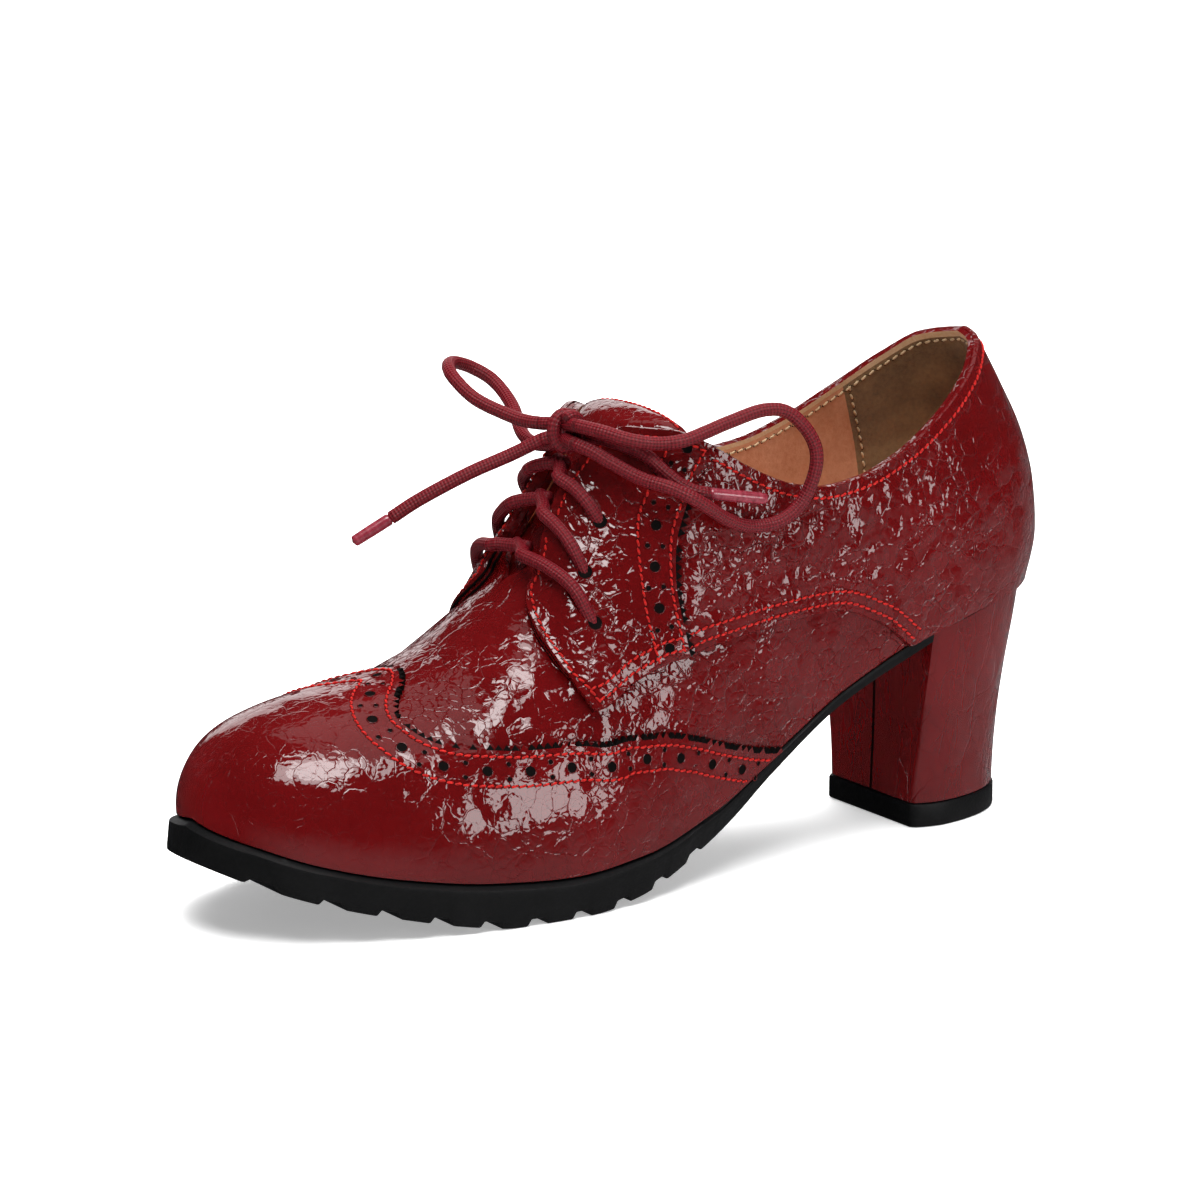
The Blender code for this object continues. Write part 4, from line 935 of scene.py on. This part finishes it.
# the quarter gives most under the ankle
QUARTER_FOLDS = Table("from_toe part", [(82, 1.3), (120, 1.5), (160, 1.6), (190, 1.3), (210, 1.0),
                                        (232, 0.9)])
RIPPLE_ALONG = Table("from_toe part", [(112, 0.3), (130, 0.7), (160, 1.0), (190, 0.9), (206, 0.4),
                                       (232, 0.25)])
RIPPLE_UP = Table("share part", [(0, 0.15), (0.35, 0.3), (0.55, 0.9), (0.75, 1.0), (1, 0.8)])
quarter_rows, eyestay_rows, eyestay_bands, lining_rows = [], [], [], []
for side, name in ((LATERAL, "lateral"), (MEDIAL, "medial")):
    low_edge, tab_edge = walk(smooth(QUARTER_LOW), side), walk(smooth(TAB_FRONT), side)
    tab_top = TAB_FRONT[-1][0]
    feather = across_top(QUARTER_LOW[-1][0], LAST_LENGTH, 70, 0)
    seam = np.stack([np.full(50, LAST_LENGTH), np.linspace(0, 1, 50)], -1)
    top_edge = across_top(LAST_LENGTH, tab_top, 190, 1)
    border = np.concatenate([low_edge[:-1], feather[:-1], seam[:-1], top_edge[:-1], tab_edge[::-1][:-1]])
    open_edges = np.zeros(len(border), bool)
    open_edges[len(low_edge):len(low_edge) + len(feather) - 2] = True
    points, faces, kinds, places, shares = panel(border, side, OVERLAY_LOW, OVERLAY_TOP, open_edges)
    fasten(piece("quarter_leather_" + name, points, faces, [patent, edge_dye_and_painted_shade], kinds,
                 {"crinkle": CRINKLE.at("amount", places) * QUARTER_FOLDS.at("part", places),
                  "ripple": RIPPLE_ALONG.at("part", places) * RIPPLE_UP.at("part", shares)}),
           "patent", "quarter_" + name)

    front_low = low_edge[low_edge[:, 0] < STAY_FOOT]
    rear_edge = pinked(smooth(EYESTAY_REAR), side)
    rear_edge[-1, 1] = 1
    stay_top = across_top(rear_edge[-1, 0], tab_top, 70, 1)
    border = np.concatenate([front_low, rear_edge[:-1], stay_top[:-1], tab_edge[::-1][:-1]])
    raw = np.zeros(len(border), bool)
    raw[len(front_low):len(front_low) + len(rear_edge)] = True
    points, faces, kinds = panel(border, side, EYESTAY_LOW, EYESTAY_TOP, raw=raw)[:3]
    fasten(piece("eyestay_leather_" + name, points, faces, [patent, edge_dye_and_painted_shade], kinds,
                 {"crinkle": np.full(len(points), EYESTAY_CRINKLE)}), "patent", "eyestay_" + name)

    # each row stops a few paces short of the corners
    collar = walk(top_edge[top_edge[:, 0] > COLLAR_ROW_FROM], side)
    rear_line = walk(smooth(EYESTAY_REAR), side)
    low_front = front_low[front_low[:, 0] < STAY_ROWS_TO]
    quarter_rows += [laid_on(walk(beside(low_edge, side, out)[3:-2], side), side, OVERLAY_TOP)
                     for out in FOOT_ROWS]
    quarter_rows.append(laid_on(beside(collar, side, COLLAR_ROW)[2:], side, OVERLAY_TOP))
    stay_rows = [beside(tab_edge, side, TAB_ROW)[2:], beside(walk(stay_top, side), side, STAY_TOP_ROW)[4:-5]]
    stay_rows += [beside(rear_line, side, out)[3:-4] for out in STAY_REAR_ROWS]
    stay_rows += [beside(low_front, side, out)[4:] for out in FOOT_ROWS]
    eyestay_rows += [laid_on(row, side, EYESTAY_TOP) for row in stay_rows]
    eyestay_bands.append(laid_on(beside(rear_line, side, STAY_BAND)[4:-5], side, EYESTAY_TOP))
    counter_seam = np.stack([np.full(60, COUNTER_FROM + COUNTER_ROW), np.linspace(0.15, 0.95, 60)], -1)
    lining_rows += [laid_on(row, side, -WALL, -1)
                    for row in (beside(collar, side, LINING_ROW)[2:], walk(counter_seam, side))]
fasten(follow("quarter_stitches", quarter_rows, sewing, SEWN), None)
fasten(follow("eyestay_stitches", eyestay_rows, sewing, SEWN), None)
# The tongue's top is turned in and sewn too
TONGUE_ROW = 2.2
spots = [(tongue_end(across) - TONGUE_ROW, across) for across in np.linspace(-0.9, 0.9, 70)]
tongue_row = np.array([on_tongue(d, a) for d, a in spots])
ahead = np.array([on_tongue(d + 0.5, a) - on_tongue(d - 0.5, a) for d, a in spots])
outward = unit(np.cross(ahead, np.gradient(tongue_row, axis=0)))
fasten(follow("tongue_stitches", [(tongue_row, outward)], sewing, SEWN), None)
stay_punched = {**PUNCHED, "Pitch": STAY_PITCH * MM}
fasten(follow("eyestay_perforations", eyestay_bands, punching, stay_punched), "patent")
# The lining is sewn with a beige thread
beige_thread = lining_leather("beige_cotton_thread", "#dcc29a", "#b3946a", 0.6, 0.7, 0.2)
lining_sewn = {**SEWN, "Thread Finish": beige_thread, "Pitch": LINING_PITCH * MM}
fasten(follow("lining_stitches", lining_rows, sewing, lining_sewn), "lining")


# The outsole: one moulding of black rubber, cemented on. A slanted ledge runs round the upper, the side
# leans in to the floor, and shallow lugs cross the forepart.
SOLE_END, SOLE_GAP = 191.5, 0.3
SOLE_EDGE = Table("from_toe out", [(0, 3.2), (30, 2.9), (70, 2.7), (96, 2.4), (112, 1.7), (130, 0.9),
                                   (150, 0.5), (192, 0.3)])
SOLE_UNDER = Table("from_toe height", [
    (0, 17.6), (6, 14.3), (18, 9.6), (36, 4.9), (52, 1.5), (63, 0), (84, 0), (96, 1.5), (107, 4.4),
    (118, 8.6), (130, 14.8), (142, 23.2), (164, 37.2), (192, 49.2)])
LEDGE_IN, LEDGE_DROP, FULL_SOLE = 0.3, 1.3, 8.0
UNDERCUT = Table("from_toe inset", [(0, -1.2), (8, 0.2), (25, 1.4), (192, 1.4)])
LUG_FROM, LUG_TO, LUG_PITCH, LUG_MARGIN = 5.0, 114.0, 12.0, 1.4
LUG_GROOVE, GROOVE_DEPTH, GROOVE_SLOPE = 5.4, 1.6, 1.2

# Moulded black rubber: a satin skin from a sand-blasted mould, with a dusty bloom
GRIT, BLOOM, GRIT_DEPTH = 0.8, 16, 0.12
rubber, tree, shader = start_finish("moulded_black_rubber", Roughness=0.5, Specular_IOR_Level=0.3)
where = add(tree, "ShaderNodeTexCoord").outputs["Object"]
grit = add(tree, "ShaderNodeTexNoise", {"Vector": where, "Scale": 1 / (GRIT * MM), "Detail": 4.0})
bloom = add(tree, "ShaderNodeTexNoise", {"Vector": where, "Scale": 1 / (BLOOM * MM), "Detail": 3.0})
soot = add(tree, "ShaderNodeValToRGB", {"Fac": bloom}, ramp=((0.3, "#070708"), (0.75, "#0d0d0e")))
satin = add(tree, "ShaderNodeMapRange", {"Value": grit, "To Min": 0.42, "To Max": 0.62})
blasted = add(tree, "ShaderNodeBump", {"Height": grit, "Distance": GRIT_DEPTH * MM, "Strength": 0.6})
wire(tree, shader, {"Base Color": soot, "Roughness": satin, "Normal": blasted})

# half a groove with its rounded corners: station from its start, depth
half_groove = [(-0.25, 0), (0.1, 0.16), (GROOVE_SLOPE - 0.2, GROOVE_DEPTH - 0.14),
               (GROOVE_SLOPE + 0.25, GROOVE_DEPTH)]
groove = half_groove + [(LUG_GROOVE - along, deep) for along, deep in half_groove[::-1]]
marks = [(d, 0.0) for d in unturn(np.linspace(0, turn(LUG_FROM), 14))[:-1]]
for start in np.arange(LUG_FROM, LUG_TO, LUG_PITCH):
    marks += [(start + along, deep) for along, deep in groove]
    lug = np.linspace(start + LUG_GROOVE + LUG_MARGIN, start + LUG_PITCH - LUG_MARGIN, 4)
    marks += [(d, 0) for d in lug]
marks += [(d, 0) for d in np.linspace(LUG_TO + LUG_GROOVE + 3, SOLE_END, 50)]
stations, depth = np.array(marks).T
edge = SOLE_EDGE.at("out", stations)
top = FEATHER.at("height", stations) - SOLE_GAP
under = SOLE_UNDER.at("height", stations) + depth
slim = np.minimum(1, (top - under) / FULL_SOLE)
ledge = top - LEDGE_DROP * slim
inset = UNDERCUT.at("inset", stations) * slim
ledge_in = np.minimum(LEDGE_IN, edge)
# down the side: how far out from the feather edge, and the height
sides = [(ledge_in, top), (np.maximum(edge - 0.5 * slim, ledge_in), ledge + 0.22 * slim),
         (edge - 0.12 * slim, ledge), (edge, ledge - 0.4 * slim)]
sides += [(edge - inset * down, ledge + (under + 0.5 * slim - ledge) * down) for down in (0.3, 0.6, 0.9)]
sides += [(edge - inset - 0.1 * slim, under + 0.2 * slim), (edge - inset - 0.5 * slim, under)]
layers = [(outline(stations, out, None), height) for out, height in sides]
MOULDED_EDGE = 38
fasten(piece("outsole_rubber", *stacked(layers), [rubber], sharp=MOULDED_EDGE), "rubber", "outsole")


# The heel: a moulded block covered in the upper's patent, whose edges meet in a seam down the breast,
# nailed up through the seat. A thicker rubber top piece, a little proud, is nailed under it.
HEEL = Table("share breast_at breast_half side_half back_at", [
    (0, 191.2, 17.6, 20, 225.4), (0.15, 191.5, 18.4, 20.5, 225.6), (0.35, 191.8, 19.9, 21.2, 226.4),
    (0.6, 192, 22, 22.6, 228.2), (0.82, 192, 24, 24.2, 230.3), (1, 192, 25.3, 25.3, 231.8)])
HEEL_ROUND, HEEL_FLARE, TOP_PIECE, HEEL_GAP = 2.25, 0.3, 6.0, 0.3
BREAST_SEAM, SEAM_DEPTH, SEAM_SIDE, BREAST_CORNER, CORNER_IN, CORNER_BACK = 0.5, 0.9, 2, 1.2, 0.45, 0.12
HEEL_STEPS, HEEL_LEVELS = 46, 43
SEAT_GROOVE, SEAT_LIP, HEEL_MIDDLE, HEEL_CRINKLE = 1.1, 0.982, 200.0, 0.9


def heel_ring(share, grow, seam):
    """One level of the heel, from the breast's lateral corner round the back and across the breast."""
    breast, back = HEEL.at("breast_at", share) - grow, HEEL.at("back_at", share) + grow
    narrow, wide = HEEL.at("breast_half", share) + grow, HEEL.at("side_half", share) + grow
    along = np.sin(np.linspace(0, math.pi / 2, HEEL_STEPS))
    swell = 1 - (1 - np.minimum(along / HEEL_FLARE, 1)) ** 2
    half = (narrow + (wide - narrow) * swell) * np.sqrt(np.maximum(1 - along ** HEEL_ROUND, 0))
    half[0] -= BREAST_CORNER * CORNER_IN
    rim = np.stack([breast + along * (back - breast), half], -1)
    rim[0, 0] += CORNER_BACK
    ring = [(x, -y) for x, y in rim] + [(x, y) for x, y in rim[::-1][1:]]
    half_breast = [narrow - BREAST_CORNER, narrow * 0.5, SEAM_SIDE, BREAST_SEAM]
    for y in half_breast + [0] + [-y for y in half_breast[::-1]]:
        ring.append((breast + (seam if y == 0 else 0.0), y))
    return np.array(ring)


def loft(rings):
    """Points and faces through closed rings from the top down, capped at both ends."""
    count = len(rings[0])
    points = [tuple(p) for ring in rings for p in ring]
    faces = []
    for i in range(len(rings) - 1):
        for j in range(count):
            a, b = i * count + j, i * count + (j + 1) % count
            faces.append((a, a + count, b + count, b))
    for ring, flip in ((0, False), (len(rings) - 1, True)):
        middle = len(points)
        points.append(tuple(np.mean(rings[ring], axis=0)))
        for j in range(count):
            face = (ring * count + j, ring * count + (j + 1) % count, middle)
            faces.append(face[::-1] if flip else face)
    return points, faces


def raised(ring, heights):
    return np.concatenate([ring, np.broadcast_to(heights, len(ring))[:, None]], axis=1)


low = TOP_PIECE + HEEL_GAP
rings = []
for share in np.append(1.0, np.linspace(SEAT_LIP, 0, HEEL_LEVELS)):
    ring = heel_ring(share, -SEAT_GROOVE if share == 1 else 0, SEAM_DEPTH)
    seat = FEATHER.at("height", np.minimum(ring[:, 0], LAST_LENGTH)) - HEEL_GAP
    rings.append(raised(ring, low + share * (seat - low)))
points, faces = loft(rings)
# the groove under the seat is black, painted shadow under the upper's overhang; the breast's seam is a dark
# joint
dark = [max(face) < 2 * len(rings[0]) or (all(abs(points[k][1]) <= BREAST_SEAM + 0.01 for k in face)
                                           and points[face[0]][0] < HEEL_MIDDLE) for face in faces]
# The cover is pulled tight down the block, so its plates are drawn out upright
tight_patent = patent_leather("red_patent_drawn_over_heel", (0.8, 0.8, 0.42))
fasten(piece("heel_block", points, faces, [tight_patent, edge_dye_and_painted_shade], dark,
             {"crinkle": np.full(len(points), HEEL_CRINKLE)}), "patent", "heel")

PROUD = 0.5
# the top piece's rim from the top down: inset, height
TOP_PIECE_RIM = ((0.6, TOP_PIECE), (0.15, TOP_PIECE - 0.12), (0, TOP_PIECE - 0.5), (0, 0.7), (0.15, 0.25),
                 (0.6, 0))
rings = [raised(heel_ring(0, PROUD - inset, 0), height) for inset, height in TOP_PIECE_RIM]
fasten(piece("top_piece_rubber", *loft(rings), [rubber], sharp=MOULDED_EDGE), "rubber", "top_piece")


# The lace: one round waxed cotton braid through three pairs of punched holes, tied in a bow, with clear
# film tips. Over the facings it is drawn taut; from the knot on it hangs free.
LACE, AGLET, TIP_GAP = 3.3, 3.0, 0.9
LACE_SIDES, LACE_PACE, CURVE_STEPS, END_BULGE = 16, 1.0, 24, 0.35

# Waxed cotton braid: fine carriers cross in a herringbone that the wax half fills. Its step along the lace
# in mm and the carriers each way round are coarser than the real ones, so that they show
CARRIER_STEP, CARRIERS, BRAID_DEPTH = 1.7, 7.0, 0.28
braid, tree, shader = start_finish("waxed_cotton_braid", Roughness=0.42, Specular_IOR_Level=0.35)
around = add(tree, "ShaderNodeUVMap", uv_map="braid")
parts = add(tree, "ShaderNodeSeparateXYZ", {"Vector": around}).outputs
run = add(tree, "ShaderNodeMath", {0: parts["X"], 1: 1 / CARRIER_STEP}, operation="MULTIPLY")
strands = []
for lean in (1, -1):
    wound = add(tree, "ShaderNodeMath", {0: parts["Y"], 1: lean * CARRIERS, 2: run}, operation="MULTIPLY_ADD")
    radians = add(tree, "ShaderNodeMath", {0: wound, 1: 2 * math.pi}, operation="MULTIPLY")
    strands.append(add(tree, "ShaderNodeMath", {0: radians}, operation="SINE"))
over = add(tree, "ShaderNodeMath", {0: strands[0], 1: strands[1]}, operation="MULTIPLY")
height = add(tree, "ShaderNodeMapRange", {"Value": over, "From Min": -1.0, "From Max": 1.0})
# the yarn's colour follows the weave's height, darker in the dips: painted shade between the carriers
yarn = add(tree, "ShaderNodeValToRGB", {"Fac": height}, ramp=((0.1, "#4a070e"), (0.8, "#700f1a")))
crossed = add(tree, "ShaderNodeBump", {"Height": height, "Distance": BRAID_DEPTH * MM, "Strength": 0.8})
wire(tree, shader, {"Base Color": yarn, "Normal": crossed})


def paced(route):
    """Even points along a smooth curve through a route."""
    curve = smooth(route, CURVE_STEPS)
    return evenly(curve, curve, LACE_PACE, 4)


def lace_mesh(name, runs, finish):
    """Round cord along one or more runs of (points, diameters), with rounded ends and a braid UV map."""
    points, faces, uvs = [], [], []
    for run, diameters in runs:
        run = np.asarray(run, float)
        sizes = np.broadcast_to(diameters, len(run)) / 2
        ahead = unit(np.gradient(run, axis=0))
        travel = travelled(run)
        out = np.cross(ahead[0], (0, 0, 1.0) if abs(ahead[0][2]) < 0.9 else (1.0, 0, 0))
        start = len(points)
        for place, heading, size in zip(run, ahead, sizes):
            out = out - heading * np.dot(out, heading)
            out /= np.linalg.norm(out)
            aside = np.cross(heading, out)
            for k in range(LACE_SIDES):
                a = 2 * math.pi * k / LACE_SIDES
                points.append(place + size * (math.cos(a) * out + math.sin(a) * aside))
        for i in range(len(run) - 1):
            for k in range(LACE_SIDES):
                a, b = start + i * LACE_SIDES + k, start + i * LACE_SIDES + (k + 1) % LACE_SIDES
                faces.append((a, b, b + LACE_SIDES, a + LACE_SIDES))
                u0, u1, v0, v1 = travel[i], travel[i + 1], k / LACE_SIDES, (k + 1) / LACE_SIDES
                uvs += [(u0, v0), (u0, v1), (u1, v1), (u1, v0)]
        for i, sign in ((0, -1), (len(run) - 1, 1)):
            tip = len(points)
            points.append(run[i] + sign * ahead[i] * sizes[i] * END_BULGE)
            for k in range(LACE_SIDES):
                a, b = start + i * LACE_SIDES + k, start + i * LACE_SIDES + (k + 1) % LACE_SIDES
                faces.append((a, b, tip) if sign > 0 else (b, a, tip))
                uvs += [(travel[i], turned / LACE_SIDES) for turned in (k, k + 1, k)]
    mesh = bpy.data.meshes.new(name)
    mesh.from_pydata(to_frame(points).tolist(), [], faces)
    mesh.uv_layers.new(name="braid").data.foreach_set("uv", np.array(uvs, np.float32).reshape(-1))
    mesh.materials.append(finish)
    mesh.shade_smooth()
    return link(bpy.data.objects.new(name, mesh))


LACE_CLEAR, PRESSED, HOLE_DEPTH = 0.9, 0.7, 1.6
LACE_LIFT = EYESTAY_TOP + LACE_CLEAR + LACE / 2
TUCKED_LIFT, TUCKED_AT = 0.9, 0.12
LACE_LEGS = [dict(name="top", from_toe=101.4, share=0.756, edge_at=98.6, tucked_at=101.0),
             dict(name="middle", from_toe=94.6, share=0.715, edge_at=94.0, tucked_at=96.0),
             dict(name="low", from_toe=92.6, share=0.594, edge_at=88.2, tucked_at=89.8)]


def crossing(leg, side):
    """One leg of the lacing: out of its hole, over the facing's edge and down to the middle of the gap."""
    route = [skin(leg["from_toe"], leg["share"], side, EYESTAY_TOP - HOLE_DEPTH)]
    stations = np.linspace(leg["from_toe"], leg["edge_at"], 4)[1:]
    shares = np.linspace(leg["share"], 1, 4)[1:]
    route += [skin(d, share, side, LACE_LIFT - PRESSED) for d, share in zip(stations, shares)]
    for t in (0.25, 0.5, 0.75, 1):
        from_toe = leg["edge_at"] + t * (leg["tucked_at"] - leg["edge_at"])
        across = side * (GAP_SHARE + t * (-TUCKED_AT - GAP_SHARE))
        lift = LACE_LIFT - PRESSED + t * (TUCKED_LIFT - LACE_LIFT + PRESSED)
        route.append(instep(from_toe, across, 1, lift))
    return paced(route)


# The punched lace holes: rings of a low lip, each with its reach and lift, and a floor in the black finish,
# painted shade inside the hole
EYELET, EYELET_SIDES, EYELET_FLOOR = 1.72, 24, 0.02
EYELET_LIP = ((EYELET + 0.3, -0.05), (EYELET + 0.12, 0.14), (EYELET, EYELET_FLOOR))
points, faces, kinds = [], [], []
for side in (LATERAL, MEDIAL):
    for leg in LACE_LEGS:
        place = leg["from_toe"], leg["share"], side
        normal = last_normal(*place)
        ahead = last_slopes(*place)[0]
        ahead = ahead / np.linalg.norm(ahead)
        across = np.cross(normal, ahead)
        middle = skin(*place, EYESTAY_TOP)
        start = len(points)
        for reach, lift in EYELET_LIP:
            for angle in np.linspace(0, 2 * math.pi, EYELET_SIDES, endpoint=False):
                out = math.cos(angle) * ahead + math.sin(angle) * across
                points.append(middle + reach * out + lift * normal)
        points.append(middle + EYELET_FLOOR * normal)
        for ring in (0, 1, 2):
            for k in range(EYELET_SIDES):
                a, b = (start + ring * EYELET_SIDES + turned % EYELET_SIDES for turned in (k, k + 1))
                on_floor = ring == 2
                faces.append((a, b, len(points) - 1) if on_floor
                             else (a, b, b + EYELET_SIDES, a + EYELET_SIDES))
                kinds.append(1 if on_floor else 0)
fasten(piece("lace_holes", points, faces, [patent, edge_dye_and_painted_shade], kinds), "patent")

for leg in LACE_LEGS:
    legs = [(crossing(leg, side), LACE) for side in (LATERAL, MEDIAL)]
    fasten(lace_mesh("lacing_" + leg["name"], legs, braid), "lace", "lace_cross_" + leg["name"])

KNOT = (99.4, -2.4, 108.0)
LOOP_RIGHT = [(98.4, -9.6, 110.2), (101.2, -16.2, 109.5), (105.4, -21.4, 108.0), (111.0, -24.2, 107.0),
              (116.6, -27.0, 107.5), (123.2, -27.4, 109.1), (129.3, -28.0, 110.9), (137.9, -29.6, 113.1),
              (144.0, -31.5, 112.0), (148.7, -34.0, 105.9), (149.3, -35.0, 99.3), (146.4, -33.6, 90.8),
              (140.4, -33.0, 86.6), (132.8, -32.4, 86.1), (125.4, -33.2, 88.6), (116.2, -34.2, 94.4),
              (110.8, -30.8, 97.5), (106.6, -25.2, 99.1), (102.8, -19.4, 101.8), (99.6, -14.2, 104.6),
              (97.6, -9.8, 105.9)]
LOOP_LEFT = [(96.8, 4.3, 108.7), (95.4, 8.1, 108.7), (93.6, 12.6, 109.4), (89.5, 21.8, 112.4),
             (88.6, 30.2, 116.1), (90.3, 36.1, 118.1), (94.5, 40.4, 118.1), (100.1, 41.1, 116.1),
             (103.8, 37.0, 113.0), (103.0, 27.4, 108.7), (99.1, 16.7, 104.3), (98.3, 10.3, 102.8),
             (99.4, 4.6, 103.0)]
END_LEFT = [(94.9, 1.0, 105.5), (89.1, 5.0, 101.9), (79.3, 9.0, 97.6), (69.0, 14.0, 91.7), (62.7, 17.0, 87.3)]
END_RIGHT = [(101.6, -8.9, 107.5), (104.8, -14.5, 106.6), (107.4, -18.3, 105.4), (110.0, -21.7, 103.7),
             (112.6, -25.2, 100.2), (115.2, -28.4, 97.4), (118.0, -30.9, 95.8), (120.8, -31.4, 95.2)]
TIP_LEFT = (54.2, 20.0, 82.0)
TIP_RIGHT = (136.3, -32.8, 92.4)

# The knot: the right loop's strand is wrapped nearly once and a half round those that pass through it
WRAP_WIDE, WRAP_TALL, WRAP_FROM, WRAP_ROUND = 3.2, 3.8, 120, 500
WRAP_START, WRAP_LONG, WRAP_LOW, WRAP_STEPS = 2.6, 4.4, 0.3, 40
wrap = []
for t in np.linspace(0, 1, WRAP_STEPS):
    angle = math.radians(WRAP_FROM - WRAP_ROUND * t)
    wrap.append((KNOT[0] + WRAP_WIDE * math.cos(angle), KNOT[1] - WRAP_START + WRAP_LONG * t,
                 KNOT[2] - WRAP_LOW + WRAP_TALL * math.sin(angle)))
through = [[LOOP_RIGHT[0], (99.4, -2.4, 109.4), LOOP_LEFT[0]],
           [LOOP_RIGHT[-1], (98.6, -2.6, 105.8), LOOP_LEFT[-1]],
           [END_RIGHT[0], (100.0, -3.4, 107.6), END_LEFT[0]]]
knot = lace_mesh("bow_knot", [(wrap, LACE)] + [(paced(route), LACE) for route in through], braid)
fasten(knot, "lace", "lace_knot")

# Clear film shrunk on the braid: the red shows through a hard gloss
film, tree, shader = start_finish("clear_film_over_braid", Roughness=0.25, IOR=1.5, Coat_Weight=1.0,
                                  Coat_Roughness=0.06)
around = add(tree, "ShaderNodeUVMap", uv_map="braid")
ribbed = add(tree, "ShaderNodeTexNoise", {"Vector": around, "Scale": 0.9, "Detail": 3.0})
tint = add(tree, "ShaderNodeValToRGB", {"Fac": ribbed}, ramp=((0.3, "#6a1422"), (0.7, "#8c3542")))
pinch = add(tree, "ShaderNodeBump", {"Height": ribbed, "Distance": 0.3 * MM, "Strength": 0.5})
wire(tree, shader, {"Base Color": tint, "Coat Normal": pinch})


for side_name, route in (("right", LOOP_RIGHT), ("left", LOOP_LEFT)):
    run = paced(route)
    loop = fasten(lace_mesh("bow_loop_" + side_name, [(run, LACE)], braid), "lace", "lace_loop_" + side_name)
# along each tip: share of its length, share of its thickness; it starts at a part of the gap
TIP_SHAPE = ((0, 0.9), (0.03, 1), (0.1, 1), (0.3, 1), (0.5, 1), (0.7, 0.97), (0.9, 0.95), (0.97, 0.92),
             (1, 0.8))
TIP_STARTS = 0.4
for side_name, route, tip in (("right", END_RIGHT, TIP_RIGHT), ("left", END_LEFT, TIP_LEFT)):
    run = paced(route)
    end = fasten(lace_mesh("bow_end_" + side_name, [(run, LACE)], braid), "lace", "lace_end_" + side_name)
    to_tip = np.array(tip) - run[-1]
    far = np.linalg.norm(to_tip)
    near = TIP_GAP * TIP_STARTS
    tip_run = [run[-1] + to_tip / far * (near + share * (far - near)) for share, thick in TIP_SHAPE]
    tip_sizes = [thick * AGLET for share, thick in TIP_SHAPE]
    aglet = lace_mesh("tip_film_" + side_name, [(tip_run, tip_sizes)], film)
    fasten(aglet, "tip", "aglet_" + side_name)
